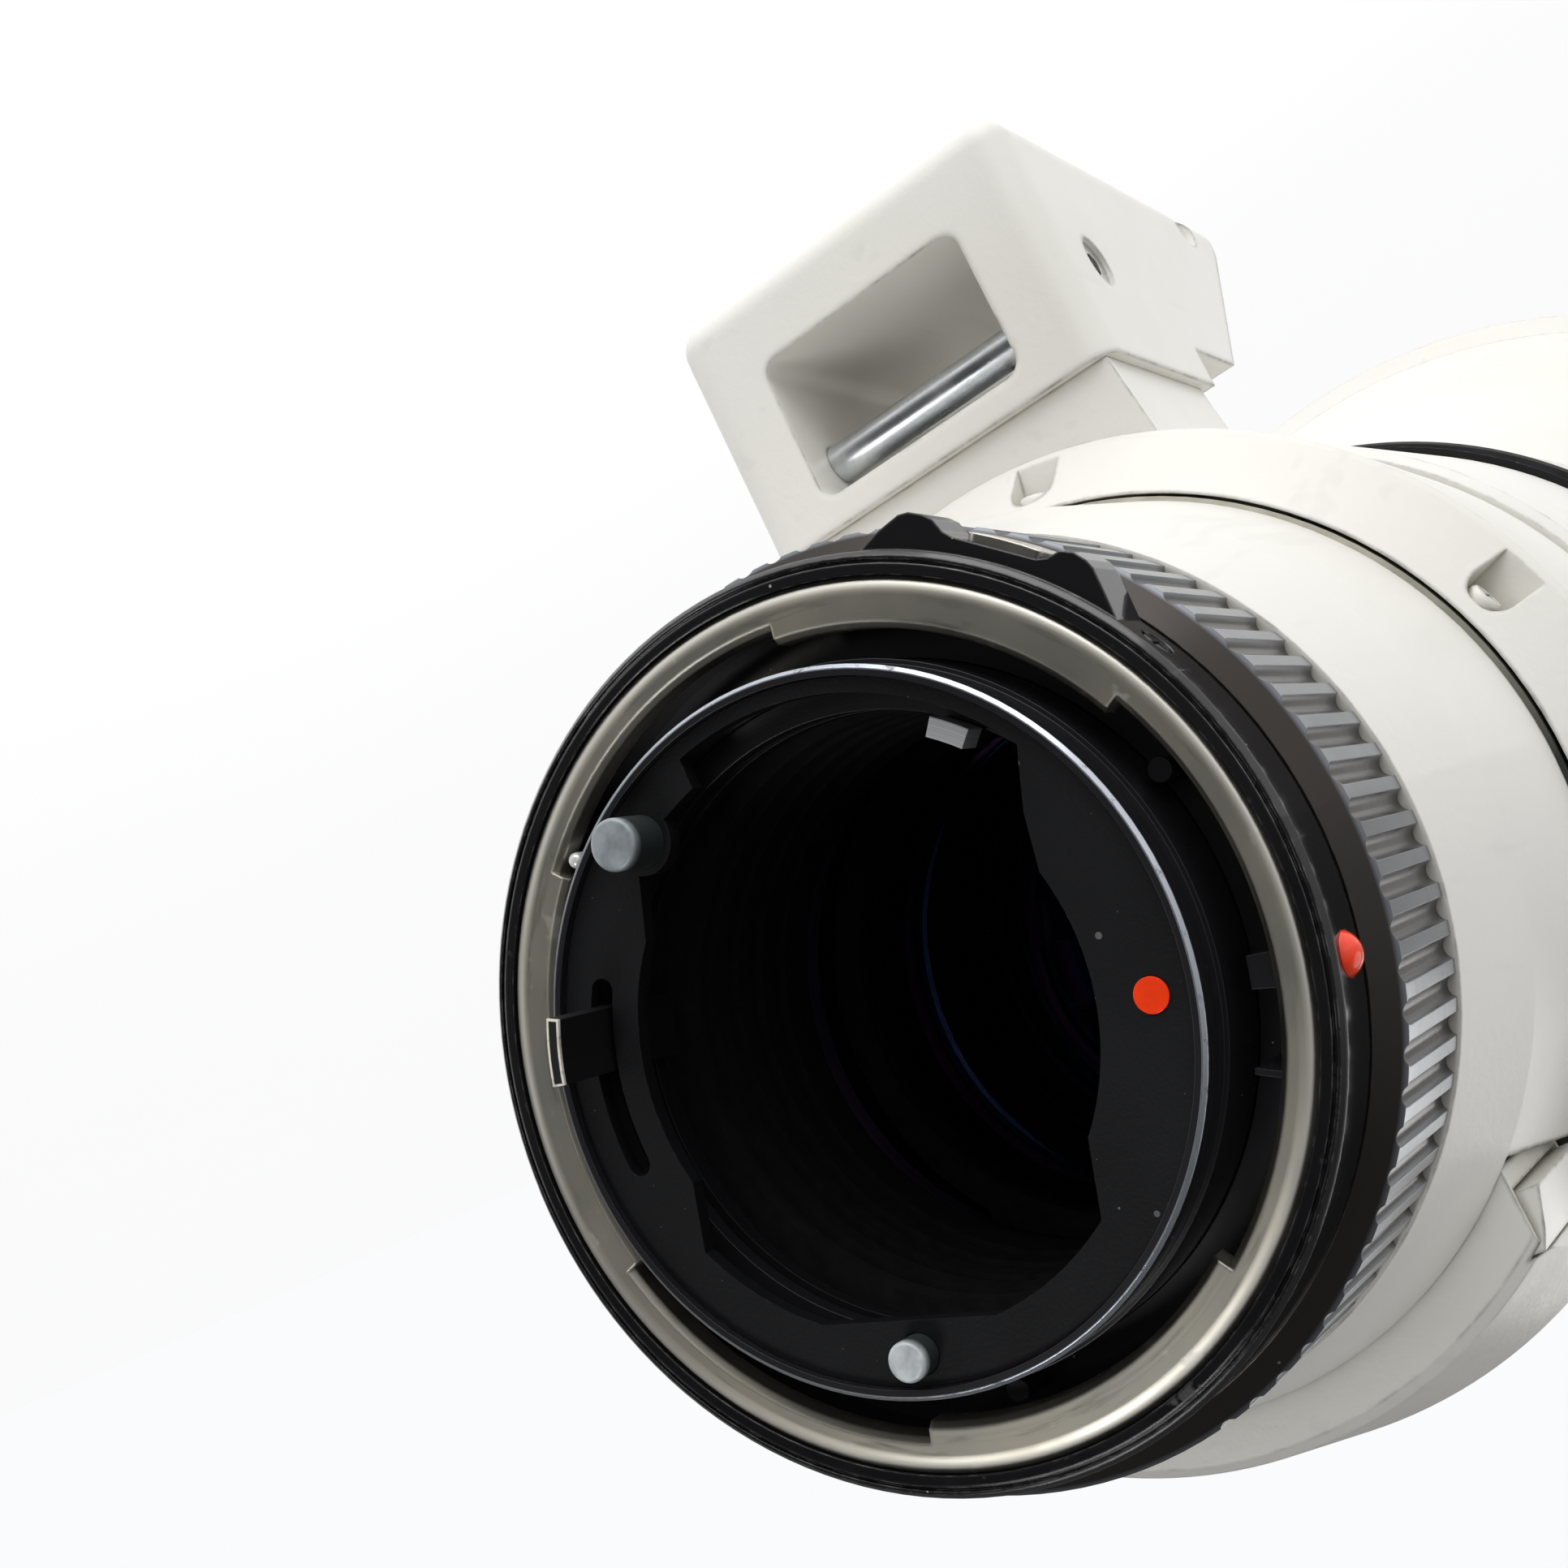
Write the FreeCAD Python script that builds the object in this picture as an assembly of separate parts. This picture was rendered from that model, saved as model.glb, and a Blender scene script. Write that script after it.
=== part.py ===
import FreeCAD, Part
import math
import os

# A fast white telephoto lens with a turning bayonet mount, a drop-in rear filter and a tripod foot.
# +X runs forward along the optical axis, +Z is up and the tripod foot points down.
# The origin is the centre of the mount's rear rim. Lengths are millimetres, angles are degrees.
# Angles about the axis run from +Y towards +Z, so 90 is the top of the lens and 270 its foot.

# Clearances
run_gap = 0.06
seat_gap = 0.03
slide_gap = 0.3
turn_gap = 0.4

# How far a cutter reaches past the face that it opens
past = 1.0

# Rear rim, band and bayonet ring
rim_radius = 31.5
rim_bevel = 0.35
rim_groove_depth = 0.3
rim_groove_width = 0.25
band_length = 5.2
band_bore = rim_radius - 0.87
breech_radius = rim_radius - 1.64
breech_bore = rim_radius - 4.05
breech_recess = 0.12
breech_thickness = 2.0
breech_bevel = 0.45
lug_bore = breech_bore - 1.05
lug_spans = ((282.0, 336.0), (56.0, 109.5), (164.0, 227.3))
channel_radius = rim_radius - 3.3
channel_depth = 6.0
channel_floor = 1.5
mount_wall_bore = rim_radius - 1.9

# Saddle and release button on the band
saddle_rear = 0.8
saddle_front = 5.0
saddle_outline = (
    (295.7, -0.1), (298.4, 1.25), (300.9, 2.3), (302.2, 2.5), (303.8, 2.4), (305.1, 2.15),
    (306.5, 1.45), (307.9, 1.15), (318.6, 1.1), (319.9, 1.45), (320.9, 2.15), (322.4, 2.4),
    (324.0, 2.3), (325.2, 2.05), (327.4, 1.15), (330.8, -0.1),
)
button_angle = 314.1
button_width = 10.2
button_top = rim_radius + 1.65
button_plate = 0.95
button_round = 0.76
button_rear = 1.35
button_front = 4.55
button_margin = 0.2
button_travel = 0.9
stem_radius = 1.0
stem_station = 3.65
stem_end = rim_radius - 1.5

# Index dome and band screws
dome_angle = 16.3
dome_station = 2.4
dome_radius = 1.45
dome_height = 0.95
band_screw_angle = 334.9
band_screw_count = 3
band_screw_station = 2.6
band_screw_head = 1.15
band_screw_head_depth = 0.45
band_screw_shank = 0.6
band_screw_length = 1.55
driver_slot_width = 0.28
driver_slot_depth = 0.25

# Stops and small parts in the mount channel
stop_block_angle = 16.7
stop_block_span = 4.6
stop_block_inner = lug_bore - 0.7
stop_block_rear = 1.2
stop_tab_angle = 30.0
stop_tab_span = 0.9
stop_tab_rear = 0.9
channel_screw_angles = (345.8, 97.0)
channel_screw_place = lug_bore - 0.8
channel_screw_radius = 0.8
channel_screw_rear = 2.8
spring_pin_angle = 230.3
spring_pin_place = channel_radius - 1.6
spring_pin_radius = 0.6
spring_pin_rear = 0.4
spring_pin_round = 0.5

# Inner mount that stays with the camera body
throat_radius = rim_radius - 7.44
throat_reach = 3.14
throat_bevel = 0.25
tube_shoulder = throat_radius + 0.34
tube_shoulder_rear = 0.05
tube_bore = throat_radius - 1.16
tube_flange = mount_wall_bore - 1.2
tube_flange_thickness = 1.4
plate_recess = 0.64
plate_thickness = 1.2
plate_lip = throat_radius - 0.76
opening_small = tube_bore - 5.8
opening_middle = tube_bore - 2.9
opening_large = tube_bore - 0.7
opening_corner = tube_bore - 3.9
index_dot_angle = 17.3
index_dot_place = tube_bore - 2.15
index_dot_radius = 1.15
index_dot_height = 0.12
index_dot_depth = 0.4
full_pin_angle = 243.8
full_pin_place = tube_bore - 2.44
full_pin_radius = 1.85
full_pin_tail = 1.35
full_pin_reach = 6.1
full_pin_land = 2.4
program_pin_angle = 105.3
program_pin_place = tube_bore - 1.75
program_pin_radius = 1.35
program_pin_reach = 4.6
program_pin_inner = 0.3
pin_round = 0.3

# Levers of the mount
lever_ring_bore = tube_bore - 1.9
lever_ring_thickness = 1.2
signal_ring_station = 2.3
signal_angle = 314.5
signal_width = 7.8
signal_inner = tube_bore - 3.15
signal_outer = signal_inner + 1.35
signal_reach = 0.5
stopdown_ring_station = 4.6
stopdown_angle = 202.0
stopdown_width = 13.0
stopdown_place = tube_bore - 2.75
stopdown_thickness = 1.0
stopdown_reach = 8.3
stopdown_turn = 17.0
slot_width = 1.8
slot_start_margin = 2.2
slot_end_margin = 3.2

# Aperture ring
aperture_gap = 0.2
aperture_front = 19.9
aperture_edge_radius = rim_radius + 0.1
aperture_radius = rim_radius + 2.0
aperture_bevel = 1.3
flute_count = 82
flute_radius = 0.85
flute_depth = 0.6
flute_start = 7.2
flute_offset = 1.95
scale_zone_start = 77.0
scale_zone_end = 168.0

# Main tube, which sets the radii of everything behind the cone
main_tube_radius = 38.5
main_tube_wall = 4.5
main_tube_bore = main_tube_radius - main_tube_wall
spigot_bore = main_tube_bore - 2.0
collar_rear = 50.0

# Rear tube and its bulkhead
tube_gap = 0.25
rear_tube_small = aperture_radius + 0.2
rear_tube_shoulder = 31.0
rear_tube_large = main_tube_radius - 0.4
rear_tube_shoulder_radius = rear_tube_large - 1.7
rear_tube_bore = rear_tube_large - 3.4
bulkhead_rear = 28.0
bulkhead_bore = rim_radius - 10.0
baffle_start = 9.9
baffle_wall = 2.7
baffle_bore = bulkhead_bore - 0.6
baffle_groove = 1.0
baffle_pitch = 3.6
baffle_count = 4

# Drop-in filter drawer on top of the rear tube
drawer_half_width = 24.2
drawer_side_gap = 1.0
drawer_floor = rear_tube_shoulder_radius - 0.5
drawer_under_gap = 0.25
drawer_rear_gap = 0.5
drawer_rear_radius = drawer_floor + 5.1
drawer_front_radius = drawer_floor + 8.7
drawer_round = 0.9
frame_centre = 40.0
frame_thickness = 5.4
frame_neck = 18.0
frame_bore = bulkhead_bore - 0.5
frame_radius = frame_bore + 2.6
filter_radius = frame_bore + 1.0
filter_thickness = 2.2
latch_bottom = math.sqrt((drawer_floor + drawer_under_gap) ** 2 - drawer_half_width ** 2) + 2.05
latch_corner = latch_bottom + 3.1
latch_top = latch_bottom + 4.5
latch_reach = drawer_half_width + 1.8
latch_corner_reach = drawer_half_width + 0.7
latch_inner = drawer_half_width - 4.0
latch_inner_bottom = latch_bottom + 2.1
latch_heel = drawer_half_width - 1.3
latch_end_gap = 0.8
latch_travel = 1.0

# Collar and its lining
spigot_rear = collar_rear - 5.2
collar_front = collar_rear + 36.0
collar_radius = main_tube_radius + 6.5
collar_lip = main_tube_radius + 0.3
collar_lip_width = 4.0
collar_shoulder = collar_rear + 6.2
collar_rear_radius = main_tube_radius + 0.5
collar_shoulder_step = 0.5
collar_front_bevel = 1.2
lining_thickness = 1.4
lining_inset = 1.0
pocket_count = 6
pocket_first_angle = 282.2
pocket_width = 4.2
pocket_floor = collar_radius - 5.0
pocket_rear = collar_rear + 1.1
pocket_front = collar_shoulder - 0.2
pocket_screw_head = 1.6
pocket_screw_height = 1.0
pocket_screw_shank = 0.8
pocket_screw_depth = 0.7

# Collar lock knob and strap lugs
knob_angle = 215.0
knob_station = collar_rear + 20.0
knob_boss_radius = 7.0
knob_boss_top = collar_radius + 4.0
knob_radius = 9.0
knob_height = 11.0
knob_bevel = 0.8
knob_gap = 0.4
knob_grooves = 18
knob_groove_radius = 1.1
knob_groove_depth = 0.6
stud_radius = 3.0
stud_tip_gap = 0.15
stud_grip = 5.0
lug_angles = (0.0, 180.0)
lug_station = collar_rear + 20.0
lug_eye_radius = 3.0
lug_ring_radius = 5.2
lug_thickness = 2.4
lug_stand_off = 6.2
lug_foot_radius = 3.4
lug_foot_height = 0.6
lug_post_radius = 2.8
lug_tail_radius = 1.7
lug_tail_depth = 2.4

# Pedestal and tripod foot
pedestal_rear = collar_rear + 8.0
pedestal_front = collar_front - 2.0
pedestal_half_width = 19.0
pedestal_root_half_width = 20.5
pedestal_top = collar_radius - 9.0
foot_rear = pedestal_rear - 1.0
foot_front_top = collar_front + 12.5
foot_front = foot_front_top + 24.0
foot_half_width = 20.0
foot_seam = collar_radius + 4.0
foot_saddle_front = collar_front
foot_step = foot_seam + 4.3
foot_base = foot_seam + 27.0
foot_round = 3.0
window_half_width = 11.8
window_top = foot_seam + 3.0
window_bottom = window_top + 15.5
window_round = 1.8
rail_half_width = 8.0
rail_depth = 4.0
rail_inset = 2.5
rail_gap = 0.2
rail_screw_count = 2
rail_screw_spacing = 12.0
rail_screw_offset = 2.0
rail_screw_head = 2.2
rail_screw_shank = 1.4
rail_screw_length = 5.0
rail_screw_head_depth = 1.4
cross_bolt_station = foot_rear + 7.0
cross_bolt_drop = window_top + 4.8
cross_bolt_radius = 2.0
cross_bolt_inset = 2.0
cross_bolt_end_wall = 3.5
side_screw_station = foot_rear + 10.6
side_screw_drop = window_top + 8.4
side_screw_head = 2.6
side_screw_depth = 2.4
side_screw_sink = 0.5
side_screw_shank = 1.6
side_screw_length = 6.0
side_screw_socket = 1.2
thread_station = foot_rear + 19.0
thread_spacing = 22.0
thread_radius = 4.76
small_thread_radius = 3.175
bush_wall = 1.8
bush_length = 7.0
foot_notch_radius = 2.8
foot_notch_station = foot_front - 13.5
foot_notch_drop = foot_base - 2.4
foot_notch_width = 6.0

# Focusing ring and its housing
mid_shell_radius = collar_radius + 1.5
mid_shell_front_radius = mid_shell_radius + 2.5
mid_shell_front = collar_front + 42.0
mid_shell_bevel = 1.0
focus_seat = mid_shell_front_radius - 3.0
focus_front = mid_shell_front + 27.0
focus_lip_radius = mid_shell_front_radius + 0.9
focus_lip_width = 5.0
focus_ring_radius = focus_lip_radius - 1.0
grip_radius = focus_ring_radius + 2.1
grip_groove_count = 8
grip_groove_depth = 0.7
grip_groove_width = 0.9
focus_cell_rear = collar_front + 6.0
mid_relief_radius = main_tube_radius + 3.0
mid_relief_rear = focus_cell_rear
mid_relief_front = mid_relief_rear + 33.0
focus_cell_length = 12.0
focus_travel = 13.0
focus_cell_floor = 2.0
focus_glass_radius = main_tube_bore - 3.5
focus_cell_lip = focus_glass_radius - 2.5
focus_rear_edge = 2.2
focus_rear_sag = 1.2
focus_rear_back_sag = 1.0
focus_front_edge = 3.4
focus_front_sag = -1.0
focus_front_back_sag = -0.6
focus_glass_space = 1.6
focus_glass_land = 3.0
focus_pin_count = 3
focus_pin_radius = 1.5
focus_pin_end = main_tube_radius + 2.5
focus_pin_depth = 2.0

# Cone, drum and front ring
cone_rear = focus_front + 0.4
main_tube_front = cone_rear + 4.6
cone_rear_radius = grip_radius + 1.0
cone_start = cone_rear + 6.6
cone_front = 246.0
shell_wall = 2.6
cone_web = 3.4
cone_bevel = 0.8
drum_bevel = 3.4
drum_radius = 83.0
cone_front_radius = drum_radius - drum_bevel
drum_front = 335.0
drum_web = 5.0
drum_web_radius = drum_radius - 7.5
front_ring_radius = drum_radius - 1.5
front_ring_end = drum_front + 13.0
front_ring_bevel = 0.8
front_ring_land = 4.5
hood_groove_depth = 0.8
hood_groove_width = 2.0
hood_groove_station = drum_front + 5.0

# Front lens group
front_cell_wall_gap = 3.0
front_cell_flange = 8.0
front_glass_seat = drum_front - 17.0
front_glass_radius = drum_radius - 11.5
front_glass_edge = 8.0
front_glass_sag = 7.0
front_glass_rear_sag = 2.0
second_glass_seat = front_glass_seat - 19.0
front_ring_bore = front_glass_radius + 1.7
front_ring_mouth = front_ring_bore + 3.8
second_glass_radius = front_glass_radius - 1.5
second_glass_edge = 7.0
second_glass_sag = 6.0
second_glass_rear_sag = 3.0
third_glass_front = second_glass_seat - 7.0
front_cell_rear = third_glass_front - 30.0
third_glass_radius = second_glass_radius - 4.0
third_glass_edge = 14.0
third_glass_sag = -4.0
third_glass_rear_sag = -5.0
glass_land = 7.0
front_cell_shoulder = third_glass_radius - 2.5
spacer_wall = 2.4
retainer_wall = 3.4
retainer_thickness = 4.0

# Rear lens group and iris
rear_cell_rear = collar_rear + 1.0
rear_cell_front = rear_cell_rear + 9.5
rear_glass_radius = 23.5
rear_cell_lip = rear_glass_radius - 1.7
rear_cell_floor = 1.2
rear_cell_wall = 3.0
rear_cell_flange = 3.0
rear_back_edge = 2.6
rear_back_sag = -0.8
rear_back_rear_sag = 0.8
rear_front_edge = 3.0
rear_front_sag = 0.9
rear_front_rear_sag = -0.5
rear_glass_space = 1.0
rear_glass_land = 2.2
iris_rear = rear_cell_front + 1.5
iris_plate = 1.4
iris_wall_bore = main_tube_bore - 1.6
blade_outer = iris_wall_bore - 4.2
blade_inner = blade_outer - 5.8
iris_bore = blade_inner - 0.2
iris_length = 7.4
blade_count = 8
blade_thickness = 0.2
blade_pitch = 0.4
blade_span = 78.0
blade_pivot = iris_wall_bore - 2.1
blade_pivot_radius = 0.8
blade_ear = 2.3
blade_ear_place = iris_wall_bore - 3.1
iris_ring_bore = blade_inner + 0.2
iris_ring_thickness = 1.2

ORIGIN = FreeCAD.Vector(0, 0, 0)
X_AXIS = FreeCAD.Vector(1, 0, 0)
Y_AXIS = FreeCAD.Vector(0, 1, 0)
Z_AXIS = FreeCAD.Vector(0, 0, 1)


def spot(x, radius, angle):
    """Point at a station, a radius from the axis and an angle about it."""
    turn = math.radians(angle)
    return FreeCAD.Vector(x, radius * math.cos(turn), radius * math.sin(turn))


def outward(angle):
    """Unit vector that points away from the axis at an angle."""
    return spot(0, 1, angle)


def facing_out(outline, push):
    """Solid made from a flat outline, with its faces pointing out."""
    for points in (outline, outline[::-1]):
        solid = push(Part.Face(Part.makePolygon(points + points[:1])))
        if solid.Volume > 0:
            return solid
    raise ValueError("an outline encloses no volume")


def turned(corners, start=0.0, sweep=360.0):
    """Solid turned about the optical axis from (station, radius) corners."""
    points = [spot(x, radius, start) for x, radius in corners]
    return facing_out(points, lambda face: face.revolve(ORIGIN, X_AXIS, sweep))


def ring(rear, front, bore, radius, start=0.0, sweep=360.0):
    """Plain ring or ring sector between two stations."""
    corners = ((rear, bore), (rear, radius), (front, radius), (front, bore))
    return turned(corners, start, sweep)


def disc(rear, front, radius):
    """Plain disc about the axis."""
    return Part.makeCylinder(radius, front - rear, FreeCAD.Vector(rear, 0, 0), X_AXIS)


def rod(radius, start, end):
    """Round bar between two points."""
    return Part.makeCylinder(radius, start.distanceToPoint(end), start, end - start)


def block(low, high):
    """Box between two corners."""
    size = [b - a for a, b in zip(low, high)]
    return Part.makeBox(*size, FreeCAD.Vector(*low))


def prism(points, push):
    """Straight prism from a flat outline."""
    return facing_out(points, lambda face: face.extrude(push))


def spun(edges, axis):
    """Solid turned once round an axis from a closed outline of edges."""
    solid = Part.Face(Part.Wire(edges)).revolve(ORIGIN, axis, 360)
    if solid.Volume < 0:
        solid.reverse()
    return solid


def bulge(x, reach, sag, upward):
    """Spherical surface between the axis and its rim at a station, as an arc in the XY plane."""
    bend = (reach ** 2 + sag ** 2) / (2 * abs(sag))
    half = abs(sag) - bend + math.sqrt(bend ** 2 - (reach / 2) ** 2)
    centre = FreeCAD.Vector(x + sag, 0, 0)
    middle = FreeCAD.Vector(x + math.copysign(half, sag), reach / 2, 0)
    rim = FreeCAD.Vector(x, reach, 0)
    ends = (centre, rim) if upward else (rim, centre)
    return Part.Arc(ends[0], middle, ends[1]).toShape()


def glass(seat, edge, radius, front_sag, rear_sag, land):
    """Lens element that sits on its rear rim: a positive sag bulges away from the glass."""
    front = seat + edge
    reach = radius - land
    outline = ((front, reach), (front, radius), (seat, radius), (seat, reach))
    corners = [FreeCAD.Vector(x, y, 0) for x, y in outline]
    edges = [bulge(front, reach, front_sag, True)]
    for start, end in zip(corners, corners[1:]):
        edges.append(Part.LineSegment(start, end).toShape())
    edges.append(bulge(seat, reach, -rear_sag, False))
    ends = (FreeCAD.Vector(seat - rear_sag, 0, 0), FreeCAD.Vector(front + front_sag, 0, 0))
    edges.append(Part.LineSegment(*ends).toShape())
    return spun(edges, X_AXIS)


def round_end(pin, station, radius):
    """Pin along the axis with the rim of its end at a station rounded."""
    rims = [edge for edge in pin.Edges if abs(edge.CenterOfMass.x - station) < 0.01]
    return pin.makeFillet(radius, rims)


def export(node, shape):
    """Writes one node's solid or group of solids."""
    shape.exportStep("parts/" + node + ".step")


# Stations and radii that follow from the sizes above
breech_rear = breech_recess
breech_front = breech_recess + breech_thickness
mount_base_radius = band_bore - seat_gap
mount_base_rear = breech_front + seat_gap
channel_base = channel_depth + channel_floor
plate_rear = plate_recess - throat_reach
plate_front = plate_rear + plate_thickness
lever_ring_radius = tube_bore - run_gap
tube_flange_rear = channel_base + slide_gap
tube_front = tube_flange_rear + tube_flange_thickness
aperture_rear = band_length + aperture_gap
rear_tube_rear = aperture_front + tube_gap
rear_tube_front = collar_rear - turn_gap
collar_bore = main_tube_radius + run_gap + lining_thickness
drawer_rear = rear_tube_shoulder + drawer_rear_gap
drawer_front = rear_tube_front - slide_gap
drawer_under = drawer_floor + drawer_under_gap
mid_shell_rear = collar_front + turn_gap
focus_rear = mid_shell_front + slide_gap
front_glass_front = front_glass_seat + seat_gap + front_glass_edge
second_glass_front = second_glass_seat + seat_gap + second_glass_edge
third_glass_seat = third_glass_front - seat_gap - third_glass_edge
blade_layer = iris_rear + iris_plate + blade_pitch


def lug_profile(bore):
    """Cross-section of the bayonet ring with its worn, bevelled edges."""
    return (
        (breech_front, bore),
        (breech_rear + breech_bevel, bore),
        (breech_rear, bore + breech_bevel),
        (breech_rear, breech_radius - rim_bevel),
        (breech_rear + rim_bevel, breech_radius),
        (breech_front, breech_radius),
    )


def bayonet_ring():
    """Steel ring with three inward lugs."""
    solid = turned(lug_profile(breech_bore))
    for start, end in lug_spans:
        solid = solid.fuse(turned(lug_profile(lug_bore), start, end - start))
    return solid.removeSplitter()


def saddle():
    """Raised guard either side of the release button."""
    points = [spot(saddle_rear, rim_radius + rise, angle) for angle, rise in saddle_outline]
    solid = prism(points, X_AXIS * (saddle_front - saddle_rear))
    return solid.cut(disc(0, band_length, rim_radius - rim_bevel))


def button_pocket():
    """Room in the band for the release button and its stem."""
    half = button_width / 2 + button_margin
    floor = button_top - button_plate - button_travel - button_margin / 2
    pocket = ring(button_rear - button_margin, button_front + button_margin,
                  floor, button_top + button_plate, button_angle - half, 2 * half)
    return pocket.fuse(stem_hole())


def stem_hole():
    """Bore for the release button's stem through the band and the mount base."""
    bottom = stem_end - button_travel - button_margin
    return rod(stem_radius + run_gap, spot(stem_station, bottom, button_angle),
               spot(stem_station, button_top, button_angle))


def mount_band():
    """Outer shell of the mount, with grooves in its rim and a saddle."""
    shell = turned((
        (0, breech_radius + seat_gap),
        (0, rim_radius - rim_bevel),
        (rim_bevel, rim_radius),
        (band_length, rim_radius),
        (band_length, band_bore),
        (mount_base_rear, band_bore),
        (mount_base_rear, breech_radius + seat_gap),
    ))
    groove_bore = (breech_radius + rim_radius) / 2
    groove = ring(-rim_groove_depth, rim_groove_depth, groove_bore, groove_bore + rim_groove_width)
    shell = shell.cut(groove).fuse(saddle()).cut(button_pocket())
    for place in range(band_screw_count):
        shell = shell.cut(band_screw(place, seat_gap))
    dome_seat = rod(dome_radius + seat_gap, spot(dome_station, rim_radius - rim_bevel, dome_angle),
                    spot(dome_station, rim_radius + dome_height, dome_angle))
    return shell.cut(dome_seat).removeSplitter()


def band_screw(place, gap):
    """Countersunk screw that holds the band, or its hole when gap is the clearance."""
    angle = band_screw_angle + place * 360 / band_screw_count
    seat = rim_radius - band_screw_head_depth
    top = rim_radius - seat_gap if gap == 0 else rim_radius + dome_height
    head = rod(band_screw_head + gap, spot(band_screw_station, seat - gap, angle),
               spot(band_screw_station, top, angle))
    end = rim_radius - band_screw_length - gap
    shank = rod(band_screw_shank + gap, spot(band_screw_station, end, angle),
                spot(band_screw_station, seat, angle))
    return head.fuse(shank)


def band_screws():
    """Cross-head screws of the band."""
    screws = []
    floor = rim_radius - seat_gap - driver_slot_depth
    for place in range(band_screw_count):
        angle = band_screw_angle + place * 360 / band_screw_count
        screw = band_screw(place, 0)
        for across in (0, 90):
            half = driver_slot_width / 2
            reach = band_screw_head + past
            cutter = block((-reach, -half, 0), (reach, half, driver_slot_depth + past))
            cutter.rotate(ORIGIN, Z_AXIS, across)
            cutter.rotate(ORIGIN, X_AXIS, angle - 90)
            cutter.translate(spot(band_screw_station, floor, angle))
            screw = screw.cut(cutter)
        screws.append(screw)
    return Part.makeCompound(screws)


def index_dome():
    """Raised mounting index on the band: a shallow dome on a short stem."""
    foot = seat_gap - rim_bevel
    bend = (dome_radius ** 2 + dome_height ** 2) / (2 * dome_height)
    half = dome_height - bend + math.sqrt(bend ** 2 - (dome_radius / 2) ** 2)
    base = FreeCAD.Vector(0, 0, foot)
    corner = FreeCAD.Vector(dome_radius, 0, foot)
    rim = FreeCAD.Vector(dome_radius, 0, 0)
    top = FreeCAD.Vector(0, 0, dome_height)
    edges = [
        Part.LineSegment(base, corner).toShape(),
        Part.LineSegment(corner, rim).toShape(),
        Part.Arc(rim, FreeCAD.Vector(dome_radius / 2, 0, half), top).toShape(),
        Part.LineSegment(top, base).toShape(),
    ]
    solid = spun(edges, Z_AXIS)
    solid.rotate(ORIGIN, X_AXIS, dome_angle - 90)
    solid.translate(spot(dome_station, rim_radius, dome_angle))
    return solid


def release_button():
    """Nickel release button with its stem."""
    half = button_width / 2
    plate = ring(button_rear, button_front, button_top - button_plate, button_top,
                 button_angle - half, 2 * half)
    corners = [edge for edge in plate.Edges if abs(edge.Length - button_plate) < 0.01]
    plate = plate.makeFillet(button_round, corners)
    stem = rod(stem_radius, spot(stem_station, stem_end, button_angle),
               spot(stem_station, button_top - button_plate / 2, button_angle))
    return plate.fuse(stem).removeSplitter()


def mount_base():
    """Black metal body behind the rim that carries the bayonet ring and the aperture ring."""
    solid = turned((
        (mount_base_rear, channel_radius),
        (mount_base_rear, mount_base_radius),
        (bulkhead_rear, mount_base_radius),
        (bulkhead_rear, mount_wall_bore),
        (channel_base, mount_wall_bore),
        (channel_base, tube_shoulder + run_gap),
        (channel_depth, tube_shoulder + run_gap),
        (channel_depth, channel_radius),
    ))
    solid = solid.cut(stem_hole())
    for place in range(band_screw_count):
        solid = solid.cut(band_screw(place, seat_gap))
    for angle in channel_screw_angles:
        hole = rod(channel_screw_radius / 2 + seat_gap,
                   spot(channel_depth - past, channel_screw_place, angle),
                   spot(channel_base, channel_screw_place, angle))
        solid = solid.cut(hole)
    return solid


def channel_stops():
    """Stops, screws and the spring pin in the channel round the throat."""
    half = stop_block_span / 2
    block_stop = ring(stop_block_rear, channel_depth, stop_block_inner, channel_radius - seat_gap,
                      stop_block_angle - half, stop_block_span)
    block_stop = block_stop.cut(ring(0, breech_front + seat_gap, breech_bore - seat_gap, rim_radius))
    tab = ring(stop_tab_rear, channel_depth, stop_block_inner, channel_radius - seat_gap,
               stop_tab_angle - stop_tab_span / 2, stop_tab_span)
    tab = tab.cut(ring(0, breech_front + seat_gap, breech_bore - seat_gap, rim_radius))
    pin = rod(spring_pin_radius, spot(spring_pin_rear, spring_pin_place, spring_pin_angle),
              spot(channel_depth, spring_pin_place, spring_pin_angle))
    pieces = [block_stop, tab, round_end(pin, spring_pin_rear, spring_pin_round)]
    for angle in channel_screw_angles:
        head = rod(channel_screw_radius, spot(channel_screw_rear, channel_screw_place, angle),
                   spot(channel_depth, channel_screw_place, angle))
        shank = rod(channel_screw_radius / 2, spot(channel_depth, channel_screw_place, angle),
                    spot(channel_base - seat_gap, channel_screw_place, angle))
        pieces.append(head.fuse(shank))
    return Part.makeCompound(pieces)


def mount_tube():
    """Throat tube that enters the camera and turns inside the mount base."""
    return turned((
        (-throat_reach, plate_lip),
        (-throat_reach, throat_radius - throat_bevel),
        (throat_bevel - throat_reach, throat_radius),
        (tube_shoulder_rear, throat_radius),
        (tube_shoulder_rear, tube_shoulder),
        (tube_flange_rear, tube_shoulder),
        (tube_flange_rear, tube_flange),
        (tube_front, tube_flange),
        (tube_front, tube_bore),
        (plate_front, tube_bore),
        (plate_front, plate_lip),
    ))


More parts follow.
